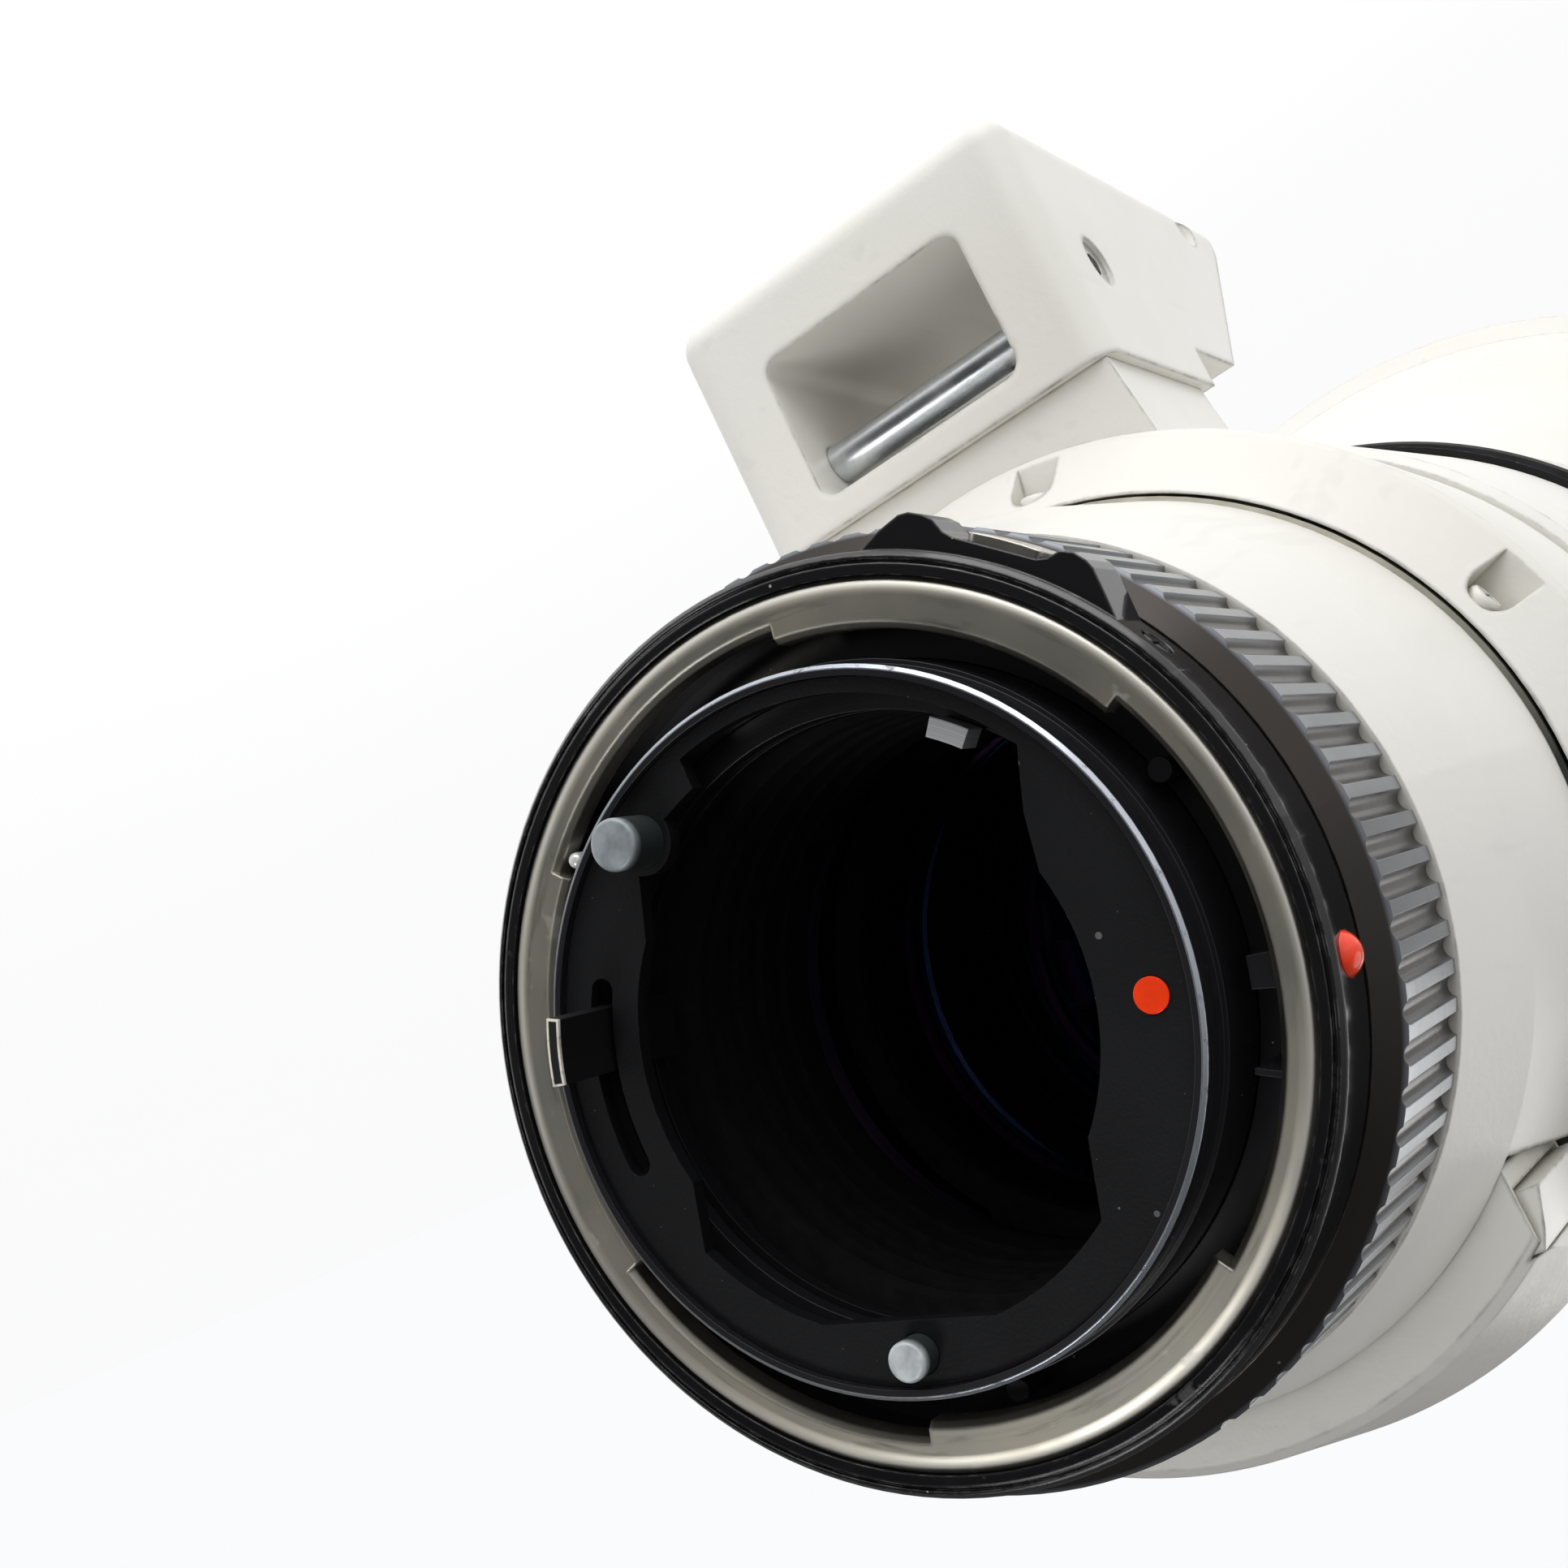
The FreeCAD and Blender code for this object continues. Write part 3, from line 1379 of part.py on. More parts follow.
def front_retainers():
    """Threaded rings that hold the front and third elements in the cell."""
    front = ring(front_glass_front + seat_gap, front_glass_front + seat_gap + retainer_thickness,
                 front_glass_radius - retainer_wall, front_glass_radius)
    rear = ring(third_glass_seat - seat_gap - retainer_thickness, third_glass_seat - seat_gap,
                third_glass_radius - retainer_wall, third_glass_radius)
    return Part.makeCompound([front, rear])


def rear_cell():
    """Black cell of the rear lens group."""
    bore = rear_glass_radius + seat_gap
    return turned((
        (rear_cell_rear, rear_cell_lip),
        (rear_cell_rear, main_tube_bore - seat_gap),
        (rear_cell_rear + rear_cell_flange, main_tube_bore - seat_gap),
        (rear_cell_rear + rear_cell_flange, bore + rear_cell_wall),
        (rear_cell_front, bore + rear_cell_wall),
        (rear_cell_front, bore),
        (rear_cell_rear + rear_cell_floor, bore),
        (rear_cell_rear + rear_cell_floor, rear_cell_lip),
    ))


def rear_elements():
    """Two elements of the rear group."""
    back_seat = rear_cell_rear + rear_cell_floor + seat_gap
    front_seat = back_seat + rear_back_edge + rear_glass_space
    back = glass(back_seat, rear_back_edge, rear_glass_radius, rear_back_sag, rear_back_rear_sag,
                 rear_glass_land)
    front = glass(front_seat, rear_front_edge, rear_glass_radius, rear_front_sag, rear_front_rear_sag,
                  rear_glass_land)
    return Part.makeCompound([back, front])


def iris_housing():
    """Housing of the iris with a pivot hole for each blade."""
    outer = main_tube_bore - seat_gap
    solid = turned((
        (iris_rear, iris_bore), (iris_rear, outer), (iris_rear + iris_length, outer),
        (iris_rear + iris_length, iris_wall_bore), (iris_rear + iris_plate, iris_wall_bore),
        (iris_rear + iris_plate, iris_bore),
    ))
    for place in range(blade_count):
        angle = blade_angle(place)
        solid = solid.cut(rod(blade_pivot_radius + run_gap, spot(iris_rear - past, blade_pivot, angle),
                              spot(iris_rear + iris_plate + past, blade_pivot, angle)))
    return solid


def blade_angle(place):
    """Angle of one blade's pivot."""
    return place * 360 / blade_count


def iris_blade(place):
    """One thin iris blade in its own layer, with its ear and pivot pin."""
    angle = blade_angle(place)
    rear = blade_layer + place * blade_pitch
    front = rear + blade_thickness
    band = ring(rear, front, blade_inner, blade_outer, angle, blade_span)
    ear = rod(blade_ear, spot(rear, blade_ear_place, angle), spot(front, blade_ear_place, angle))
    pin = rod(blade_pivot_radius, spot(iris_rear, blade_pivot, angle), spot(front, blade_pivot, angle))
    return band.fuse(ear).fuse(pin).removeSplitter()


def iris_ring():
    """Ring in front of the blades that opens and closes them."""
    rear = blade_layer + blade_count * blade_pitch
    return ring(rear, rear + iris_ring_thickness, iris_ring_bore, iris_wall_bore - run_gap)


def build():
    """Makes every node."""
    export("mount_band", mount_band())
    export("breech_ring", bayonet_ring())
    export("mount_base", mount_base())
    export("channel_stops", channel_stops())
    export("index_dome", index_dome())
    export("band_screws", band_screws())
    export("lock_button", release_button())
    export("mount_tube", mount_tube())
    export("mount_plate", mount_plate())
    export("index_dot", index_dot())
    export("full_aperture_pin", full_aperture_pin())
    export("program_pin", program_pin())
    export("signal_lever", signal_lever())
    export("stopdown_lever", stopdown_lever())
    export("aperture_ring", aperture_ring())
    export("rear_tube", rear_tube())
    export("rear_baffle", rear_baffle())
    export("drawer_cover", drawer_cover())
    export("drawer_frame", drawer_frame())
    export("drop_in_filter", drop_in_filter())
    export("drawer_latch_left", drawer_latch(1))
    export("drawer_latch_right", drawer_latch(-1))
    export("main_tube", main_tube())
    export("collar_ring", collar_ring())
    export("collar_screws", collar_screws())
    export("collar_lining", collar_lining())
    export("collar_lock_knob", collar_lock_knob())
    export("collar_lock_stud", collar_lock_stud())
    export("strap_lugs", Part.makeCompound([strap_lug(angle) for angle in lug_angles]))
    export("foot_block", foot_block())
    export("foot_rail", foot_rail())
    export("foot_screws", foot_screws())
    export("foot_cross_bolt", cross_bolt(0))
    export("tripod_bushes", Part.makeCompound([tripod_bush(*thread) for thread in tripod_threads()]))
    export("mid_shell", mid_shell())
    export("focus_ring", focus_ring())
    export("focus_grip", focus_grip())
    export("focus_cell", focus_cell())
    export("focus_elements", focus_elements())
    export("cone_barrel", cone_barrel())
    export("front_drum", front_drum())
    export("front_ring", front_ring())
    export("front_cell", front_cell())
    export("front_spacer", front_spacer())
    export("front_retainers", front_retainers())
    export("front_element_1", glass(front_glass_seat + seat_gap, front_glass_edge, front_glass_radius,
                                    front_glass_sag, front_glass_rear_sag, glass_land))
    export("front_element_2", glass(second_glass_seat + seat_gap, second_glass_edge, second_glass_radius,
                                    second_glass_sag, second_glass_rear_sag, glass_land))
    export("front_element_3", glass(third_glass_seat, third_glass_edge, third_glass_radius,
                                    third_glass_sag, third_glass_rear_sag, glass_land))
    export("rear_cell", rear_cell())
    export("rear_elements", rear_elements())
    export("iris_housing", iris_housing())
    export("iris_ring", iris_ring())
    for place in range(blade_count):
        export("iris_blade_" + str(place + 1), iris_blade(place))


os.makedirs("parts", exist_ok=True)
build()
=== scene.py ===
import math
import bmesh
import bpy
from mathutils import Matrix, Vector


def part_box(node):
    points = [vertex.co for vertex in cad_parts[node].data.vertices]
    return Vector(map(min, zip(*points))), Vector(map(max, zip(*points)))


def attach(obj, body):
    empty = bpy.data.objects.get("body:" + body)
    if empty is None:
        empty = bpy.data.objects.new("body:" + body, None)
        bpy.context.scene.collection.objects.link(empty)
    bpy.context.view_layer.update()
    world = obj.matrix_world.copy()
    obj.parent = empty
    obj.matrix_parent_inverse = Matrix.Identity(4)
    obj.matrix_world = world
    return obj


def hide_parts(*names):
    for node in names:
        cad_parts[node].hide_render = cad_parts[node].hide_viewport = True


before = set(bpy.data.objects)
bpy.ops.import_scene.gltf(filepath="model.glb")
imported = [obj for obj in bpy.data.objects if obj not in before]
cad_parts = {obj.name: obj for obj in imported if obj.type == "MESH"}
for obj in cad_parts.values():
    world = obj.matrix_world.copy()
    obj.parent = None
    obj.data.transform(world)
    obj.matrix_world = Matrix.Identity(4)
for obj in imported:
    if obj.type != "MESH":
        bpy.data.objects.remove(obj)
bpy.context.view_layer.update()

bl_info = {
    "name": "Telephoto Lens",
    "version": (1, 0, 0),
    "blender": (4, 5, 0),
    "location": "3D View > Sidebar > Lens",
    "description": "Finishes a white telephoto lens with a breech mount and sets up its studio",
    "category": "Object",
}

# The optical axis is X, with the rear rim at zero. Angles about it run from +Y towards +Z.
MM = 0.001
TOP = 90

# Places of the construction that a finish or a painted mark follows
RIM_RADIUS = 31.5 * MM
THROAT_BEVEL = (26.84 * MM, 26.92 * MM)
THROAT_RUBBED_SIDE = (-23 * MM, -8 * MM)
SEAM_SHADE_HEIGHTS = (-22 * MM, 2 * MM)
STEEL_MIDDLE = (29.1 * MM, 28.6 * MM)
# Radii of the steel ring's outer bevel, painted brighter: worn metal and a painted highlight.
STEEL_RIM_HIGHLIGHT = (28.95 * MM, 29.45 * MM)
STEEL_ROUNDING = (28.55 * MM, 29.86 * MM)
FLUTE_FLOOR = (33.10 * MM, 33.38 * MM)
SPRING_BALL_PLACE = 26.6 * MM
SPRING_BALL_ANGLE = 230.3
SPRING_BALL_REACH = 0.75 * MM
LEVER_TURN = math.radians(202)
LEVER_PLACE = 20.15 * MM
LEVER_END = -8.08 * MM
LEVER_HALF_HEIGHT = (0.30 * MM, 0.36 * MM)
LEVER_HALF_WIDTH = (math.radians(6.0), math.radians(6.15))
SIGNAL_TAB_FRONT = 1.6 * MM
LONG_PIN_END = -6.1 * MM
SHORT_PIN_END = -4.6 * MM
SHELL_LENGTH = 41.6 * MM
SHELL_END_RADIUS = 49.0 * MM
SHELL_FLARE = 2.5 / 41.6
SHELL_LINE_SETBACK = 2.4 * MM
TUBE_FLARE = 0.249
TUBE_LINE_STATION = 23.4 * MM
TUBE_LINE_RADIUS = (33.7 + 3.25 * TUBE_FLARE) * MM

# Bore, narrower bore behind the step, and the step's station
SHELL_BORES = (34.8 * MM, 32.6 * MM, 30 * MM)
DRUM_BORES = (80.5 * MM, 79.2 * MM, 247 * MM)
TUBE_BORES = (37 * MM, 37 * MM, 0.0)

# Screws of the band and of the pockets: first angle, foot of the heads, and of each head its radius, its
# rise and the length, width and depth of its cross
BAND_SCREW_ANGLE = 334.9
BAND_SCREW_FOOT = RIM_RADIUS - 0.45 * MM
BAND_SCREW_HEAD = (1.12 * MM, 0.34 * MM, 0.78 * MM, 0.26 * MM, 0.30 * MM)
POCKET_SCREW_ANGLE = 282.2
POCKET_FLOOR = 40 * MM
POCKET_SCREW_HEAD = (1.55 * MM, 0.8 * MM, 1.05 * MM, 0.34 * MM, 0.6 * MM)

# Figures of the aperture ring, a step apart, and of the focusing ring, at its turn for each distance.
# The figure at zero lies on its side.
STOPS = ("2.8", "4", "5.6", "8", "11", "16", "22", "32")
STOP_STEP = 9
STOP_ROW = 16.2 * MM
STOP_TICK_ROW = 18.8 * MM
DISTANCES = {0: "8", 16: "50", 32: "30", 48: "20", 64: "15", 80: "10", 98: "7", 116: "5", 133: "4",
             150: "3"}


def node_round(node):
    """First and last station of a round node along the axis, and its outer radius."""
    low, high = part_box(node)
    return low.x, high.x, (high.y - low.y) / 2


# Settings that a user would change

class LensPaint(bpy.types.PropertyGroup):
    white: bpy.props.FloatVectorProperty(
        name="White Paint", description="Colour of the enamel on the shells and the foot",
        subtype="COLOR", size=3, min=0, max=1, default=(0.80, 0.785, 0.745))
    # This colour also serves as painted shade: an ambient-occlusion mask lays it into seams and pockets.
    grime: bpy.props.FloatVectorProperty(
        name="Seam Grime", description="Colour of the dirt that settles in seams and pockets",
        subtype="COLOR", size=3, min=0, max=1, default=(0.36, 0.33, 0.26))
    grain: bpy.props.FloatProperty(
        name="Paint Grain", description="Distance between the waves of the sprayed enamel",
        subtype="DISTANCE", unit="LENGTH", default=0.9 * MM, min=0.1 * MM, max=10 * MM)
    band: bpy.props.FloatVectorProperty(
        name="Band Black", description="Colour of the glossy band round the mount",
        subtype="COLOR", size=3, min=0, max=1, default=(0.006, 0.006, 0.007))
    anodised: bpy.props.FloatVectorProperty(
        name="Anodised Black", description="Colour of the satin black rings",
        subtype="COLOR", size=3, min=0, max=1, default=(0.012, 0.012, 0.014))
    index_red: bpy.props.FloatVectorProperty(
        name="Index Red", description="Colour of the mounting marks",
        subtype="COLOR", size=3, min=0, max=1, default=(0.98, 0.050, 0.006))
    numerals: bpy.props.FloatVectorProperty(
        name="Numerals", description="Colour of the figures and lines on the scales",
        subtype="COLOR", size=3, min=0, max=1, default=(0.80, 0.79, 0.75))


class LensSizes(bpy.types.PropertyGroup):
    edge_round: bpy.props.FloatProperty(
        name="Edge Rounding", description="Radius that the enamel leaves on an outer edge",
        subtype="DISTANCE", unit="LENGTH", default=0.5 * MM, min=0, max=3 * MM)
    figure_height: bpy.props.FloatProperty(
        name="Figure Height", description="Height of the figures on the aperture ring",
        subtype="DISTANCE", unit="LENGTH", default=2.6 * MM, min=0.5 * MM, max=6 * MM)
    figure_depth: bpy.props.FloatProperty(
        name="Figure Thickness", description="Thickness of the paint that fills a figure",
        subtype="DISTANCE", unit="LENGTH", default=0.04 * MM, min=0.01 * MM, max=0.5 * MM)
    rib_columns: bpy.props.IntProperty(
        name="Grip Columns", description="Rubber studs in one round of the focusing grip",
        default=104, min=12, max=240)
    rib_rows: bpy.props.IntProperty(
        name="Grip Rows", description="Rounds of rubber studs on the focusing grip",
        default=9, min=1, max=20)


class LensStage(bpy.types.PropertyGroup):
    floor_drop: bpy.props.FloatProperty(
        name="Floor Drop", description="Height of the floor below the optical axis",
        subtype="DISTANCE", unit="LENGTH", default=0.62, min=0.1, max=5)
    floor_size: bpy.props.FloatProperty(
        name="Floor Size", description="Radius of the pale floor",
        subtype="DISTANCE", unit="LENGTH", default=9.0, min=1, max=50)
    sky_low: bpy.props.FloatProperty(
        name="Dim Side", description="Brightness of the room away from the window",
        default=0.16, min=0, max=4)
    sky_high: bpy.props.FloatProperty(
        name="Window Side", description="Brightness of the room towards the window",
        default=1.02, min=0, max=4)
    sky_back: bpy.props.FloatProperty(
        name="Back Side", description="Share of the room's light that comes from behind the mount",
        default=0.06, min=0, max=1)


# Node helpers

def feed(tree, socket, value):
    """Links a socket to another one, or sets its number."""
    if isinstance(value, bpy.types.NodeSocket):
        tree.links.new(value, socket)
    elif value is not None:
        socket.default_value = value


def place(tree, kind, inputs=None, **settings):
    """Adds a node with its settings and inputs."""
    node = tree.nodes.new(kind)
    for key, value in settings.items():
        setattr(node, key, value)
    wire(tree, node, inputs or {})
    return node


def wire(tree, node, inputs):
    """Feeds several inputs of a node."""
    for key, value in inputs.items():
        feed(tree, node.inputs[key], value)


def sums(tree, operation, first, second=None, clamp=False):
    """Adds one step of arithmetic and gives its output."""
    node = place(tree, "ShaderNodeMath", operation=operation, use_clamp=clamp)
    for socket, value in zip(node.inputs, (first, second)):
        feed(tree, socket, value)
    return node.outputs[0]


def times(tree, first, second, clamp=False):
    """Product of two values."""
    return sums(tree, "MULTIPLY", first, second, clamp)


def plus(tree, first, second):
    """Sum of two values."""
    return sums(tree, "ADD", first, second)


def minus(tree, first, second):
    """Difference of two values."""
    return sums(tree, "SUBTRACT", first, second)


def vectors(tree, operation, first, second):
    """Adds one step of vector arithmetic."""
    return place(tree, "ShaderNodeVectorMath", {0: first, 1: second}, operation=operation)


def stretched_along(tree, amount):
    """Vector whose first part is a value, for patterns that run along it."""
    return place(tree, "ShaderNodeCombineXYZ", {"X": amount}).outputs[0]


def blend(tree, amount, first, second):
    """Mixes two colours by a mask."""
    node = place(tree, "ShaderNodeMix", {0: amount}, data_type="RGBA")
    for socket, value in ((node.inputs[6], first), (node.inputs[7], second)):
        feed(tree, socket, value if isinstance(value, bpy.types.NodeSocket) else (*value[:3], 1))
    return node.outputs[2]


def layered(tree, colour, *layers):
    """Lays colours over one another, each by its mask."""
    for mask, over in layers:
        colour = blend(tree, mask, colour, over)
    return colour


def stretch(tree, value, low, high, to_low=0.0, to_high=1.0):
    """Maps a range of values onto another one and holds its ends."""
    return place(tree, "ShaderNodeMapRange", {
        "Value": value, "From Min": low, "From Max": high, "To Min": to_low, "To Max": to_high}).outputs[0]


def add_sockets(tree, way, kind, *labels):
    """Gives a shared tree inputs or outputs of one kind."""
    for label in labels:
        tree.interface.new_socket(label, in_out=way, socket_type="NodeSocket" + kind)


def shared(*labels):
    """Lets a function build its nodes once, as a group with these inputs that the materials share."""
    def keep(build):
        def placed(tree, *values):
            group = bpy.data.node_groups.get(build.__name__)
            if not group:
                group = bpy.data.node_groups.new(build.__name__, "ShaderNodeTree")
                add_sockets(group, "INPUT", "Float", *labels)
                results = build(group, *group.nodes.new("NodeGroupInput").outputs[:len(labels)])
                add_sockets(group, "OUTPUT", "Float", *results)
                wire(group, group.nodes.new("NodeGroupOutput"), results)
            outputs = place(tree, "ShaderNodeGroup", dict(enumerate(values)), node_tree=group).outputs
            return outputs if len(outputs) > 1 else outputs[0]
        return placed
    return keep


def object_point(tree):
    """The point on the piece that is being shaded, in metres."""
    return tree.nodes.new("ShaderNodeTexCoord").outputs["Object"]


def point_parts(tree):
    """X, Y and Z of the point that is being shaded."""
    return place(tree, "ShaderNodeSeparateXYZ", {"Vector": object_point(tree)}).outputs


def axis_place(tree):
    """Station and distance from the optical axis of the point that is being shaded."""
    along, side, up = point_parts(tree)
    return along, sums(tree, "SQRT", plus(tree, times(tree, side, side), times(tree, up, up)))


def noise(tree, vector, scale, detail=2.0, rough=0.5):
    """Soft random pattern between 0 and 1."""
    return place(tree, "ShaderNodeTexNoise", {
        "Vector": vector, "Scale": scale, "Detail": detail, "Roughness": rough}).outputs["Fac"]


def patches(tree, scale, detail=3.0, low=0.3, high=0.7, to_low=0.0, to_high=1.0, rough=0.5):
    """Soft random patches over a piece, held between two values."""
    return stretch(tree, noise(tree, object_point(tree), scale, detail, rough), low, high, to_low, to_high)


@shared("Reach", "Amount", "Patch")
def edge_wear(tree, reach, amount, patch):
    """Broken mask along convex edges, where paint rubs off."""
    rounded = place(tree, "ShaderNodeBevel", {"Radius": reach}, samples=4)
    face = tree.nodes.new("ShaderNodeNewGeometry")
    lean = vectors(tree, "DOT_PRODUCT", rounded.outputs[0], face.outputs["Normal"])
    edge = times(tree, minus(tree, 1.0, lean.outputs["Value"]), 9.0, clamp=True)
    limit = minus(tree, 1.0, amount)
    broken = stretch(tree, noise(tree, object_point(tree), patch, 4.0, 0.65), times(tree, limit, 0.72),
                     plus(tree, limit, 0.12))
    return {"Mask": times(tree, edge, broken, clamp=True)}


@shared("Spacing", "Specks")
def sprayed_grain(tree, spacing, specks):
    """Height of sprayed enamel: slow waves with a few dried specks."""
    spot = object_point(tree)
    scale = sums(tree, "DIVIDE", 1.0, spacing)
    waves = noise(tree, spot, scale, 2.0, 0.55)
    drops = place(tree, "ShaderNodeTexVoronoi", {"Vector": spot, "Scale": times(tree, scale, 0.42)})
    drop = stretch(tree, drops.outputs["Distance"], 0.0, 0.28, 1.0, 0.0)
    sparse = stretch(tree, noise(tree, spot, times(tree, scale, 0.13), 1.0), 0.56, 0.66)
    return {"Height": plus(tree, waves, times(tree, times(tree, drop, sparse), specks))}


@shared("Pitch")
def turned_marks(tree, pitch):
    """Fine rings that a lathe leaves round the optical axis."""
    station, radius = axis_place(tree)
    scale = sums(tree, "DIVIDE", 1.0, pitch)
    across = place(tree, "ShaderNodeCombineXYZ", {
        "X": times(tree, radius, scale), "Y": times(tree, station, scale)}).outputs[0]
    fine = noise(tree, across, 1.0, 3.0, 0.6)
    broad = noise(tree, across, 0.09, 1.0)
    return {"Height": fine, "Tone": plus(tree, times(tree, fine, 0.4), times(tree, broad, 0.6))}


@shared("Amount", "Scale")
def hairlines(tree, amount, scale):
    """Thin scratches that cross each other at random."""
    spot = object_point(tree)
    total = 0.0
    for turn, seed in ((0.4, 0.0), (1.35, 3.1), (2.5, 7.7)):
        lay = place(tree, "ShaderNodeMapping", {
            "Vector": spot, "Location": (seed, seed, seed), "Rotation": (turn, turn * 0.7, turn * 1.3),
            "Scale": (0.06, 1.0, 1.0)})
        line = stretch(tree, noise(tree, lay.outputs[0], scale, 3.0, 0.7), 0.655, 0.70)
        total = sums(tree, "MAXIMUM", total, line)
    return {"Mask": times(tree, total, amount, clamp=True)}


@shared("Spacing", "Amount")
def dust(tree, spacing, amount):
    """Scattered pale specks."""
    cells = place(tree, "ShaderNodeTexVoronoi", {
        "Vector": object_point(tree), "Scale": sums(tree, "DIVIDE", 1.0, spacing)})
    size, chance, _ = place(tree, "ShaderNodeSeparateColor", {"Color": cells.outputs["Color"]}).outputs
    near = sums(tree, "LESS_THAN", cells.outputs["Distance"], times(tree, size, 0.11))
    return {"Mask": times(tree, near, sums(tree, "LESS_THAN", chance, amount))}


@shared("Reach", "Amount")
def seam_grime(tree, reach, amount):
    """Mask of seams and hollows, found by ambient occlusion: the grime that a wiping cloth can't reach, and
    painted shade.
    """
    open_sky = place(tree, "ShaderNodeAmbientOcclusion", {"Distance": reach}, samples=6)
    closed = stretch(tree, open_sky.outputs["AO"], 0.72, 0.25)
    uneven = patches(tree, 420.0, to_low=0.55)
    return {"Mask": times(tree, times(tree, closed, uneven), amount, clamp=True)}


# Materials

def new_material(name, build, *values):
    """Makes a material, whose nodes a function places."""
    material = bpy.data.materials.new(name)
    material.use_nodes = True
    build(material.node_tree, material.node_tree.nodes["Principled BSDF"], *values)
    return material


def surface(tree, shader, colour, rough=None, metallic=None):
    """Gives a surface its colour, its roughness and its share of bare metal."""
    wire(tree, shader, {"Base Color": colour, "Roughness": rough, "Metallic": metallic})


def relief(tree, shader, height, depth, rounding=0.0):
    """Gives a surface its relief and rounds its edges in the light."""
    bump = place(tree, "ShaderNodeBump", {"Height": height, "Distance": depth, "Strength": 1.0})
    if rounding:
        rounded = place(tree, "ShaderNodeBevel", {"Radius": rounding}, samples=6)
        feed(tree, bump.inputs["Normal"], rounded.outputs[0])
    feed(tree, shader.inputs["Normal"], bump.outputs[0])


def shaded(colour, share):
    """A plain colour made darker or lighter."""
    return [min(1.0, part * share) for part in colour]


def blacked_inside(tree, colour, bore, rear_bore, step):
    """Turns a colour to flat black inside a bore, which is narrower behind a station."""
    station, radius = axis_place(tree)
    limit = stretch(tree, station, step, step + 1 * MM, rear_bore, bore)
    return blend(tree, sums(tree, "LESS_THAN", radius, limit), colour, (0.006, 0.006, 0.006))


def turned_finish(tree, shader, pitch, low, high, rounding=0.10 * MM):
    """Roughness and relief of a surface that was turned on a lathe."""
    lathe = turned_marks(tree, pitch)
    feed(tree, shader.inputs["Roughness"], stretch(tree, lathe["Tone"], 0.2, 0.8, low, high))
    relief(tree, shader, lathe["Height"], 0.004 * MM, rounding)


def white_enamel(tree, shader, paint, rounding, bores=None, dirt_and_shade_amount=0.62):
    """Warm white sprayed enamel with soft edges, grime and painted shade in its seams, and a few chips."""
    darker = [part * share for part, share in zip(paint.white, (0.965, 0.96, 0.935))]
    # Ambient occlusion lays grime and painted shade into seams and hollows.
    dirt_and_shade = seam_grime(tree, 2.2 * MM, dirt_and_shade_amount)
    marks = hairlines(tree, 0.10, 120.0)
    chips = edge_wear(tree, 0.5 * MM, 0.36, 330.0)
    colour = layered(tree, darker, (patches(tree, 22.0), shaded(paint.white, 1.035)), (dirt_and_shade, paint.grime),
                     (marks, shaded(paint.white, 0.55)), (chips, (0.10, 0.115, 0.105)))
    if bores:
        colour = blacked_inside(tree, colour, *bores)
    gloss = patches(tree, 160.0, 2.0, to_low=0.34, to_high=0.44)
    surface(tree, shader, colour, plus(tree, gloss, times(tree, dirt_and_shade, 0.3)))
    wire(tree, shader, {"Coat Weight": 0.15, "Coat Roughness": 0.3})
    grain = sprayed_grain(tree, paint.grain, 0.9)
    relief(tree, shader, minus(tree, grain, chips), 0.035 * MM, rounding)


def seam_metal(tree, shader):
    """Dirty bare metal that shows only in the seam behind the collar, with painted shade towards +Z."""
    tone = patches(tree, 260.0)
    # Painted shade: the seam turns near black towards +Z.
    upper = stretch(tree, point_parts(tree)["Z"], *SEAM_SHADE_HEIGHTS)
    colour = layered(tree, (0.38, 0.37, 0.30), (tone, (0.56, 0.54, 0.46)), (upper, (0.020, 0.024, 0.020)))
    surface(tree, shader, blacked_inside(tree, colour, *TUBE_BORES), 0.6)
    relief(tree, shader, tone, 0.02 * MM)


def gloss_band(tree, shader, paint):
    """Deep gloss black of the band, with hairlines and bright nicks on its edges."""
    nicks = edge_wear(tree, 0.12 * MM, 0.34, 700.0)
    specks = dust(tree, 1.0 * MM, 0.14)
    colour = layered(tree, paint.band, (nicks, (0.42, 0.41, 0.39)), (specks, (0.30, 0.30, 0.29)))
    scratches = hairlines(tree, 0.7, 300.0)
    smear = patches(tree, 130.0, low=0.35, to_low=0.05, to_high=0.17)
    surface(tree, shader, colour, plus(tree, smear, times(tree, scratches, 0.35)), times(tree, nicks, 0.9))
    wire(tree, shader, {"IOR": 1.7})
    waves = noise(tree, object_point(tree), 240.0, 1.0)
    relief(tree, shader, minus(tree, waves, times(tree, scratches, 0.5)), 0.006 * MM, 0.26 * MM)


def anodised(tree, shader, tones, wear, specks, bare, lint, gloss, metallic, rounding, flute_shade_colour=None):
    """Anodised black with bare metal along its arrises, and perhaps painted shade on the floors of its
    flutes.
    """
    colour = blend(tree, patches(tree, 60.0), *tones)
    if flute_shade_colour:
        # Painted shade: the floors of the flutes get a darker colour.
        flute_shade = stretch(tree, axis_place(tree)[1], *FLUTE_FLOOR, 1.0, 0.0)
        colour = blend(tree, flute_shade, colour, flute_shade_colour)
    rub = edge_wear(tree, 0.16 * MM, wear, 600.0)
    mask = dust(tree, 1.3 * MM, specks)
    colour = layered(tree, colour, (times(tree, rub, 0.7), bare), (mask, lint))
    surface(tree, shader, colour, None, metallic)
    turned_finish(tree, shader, 0.10 * MM, *gloss, rounding)


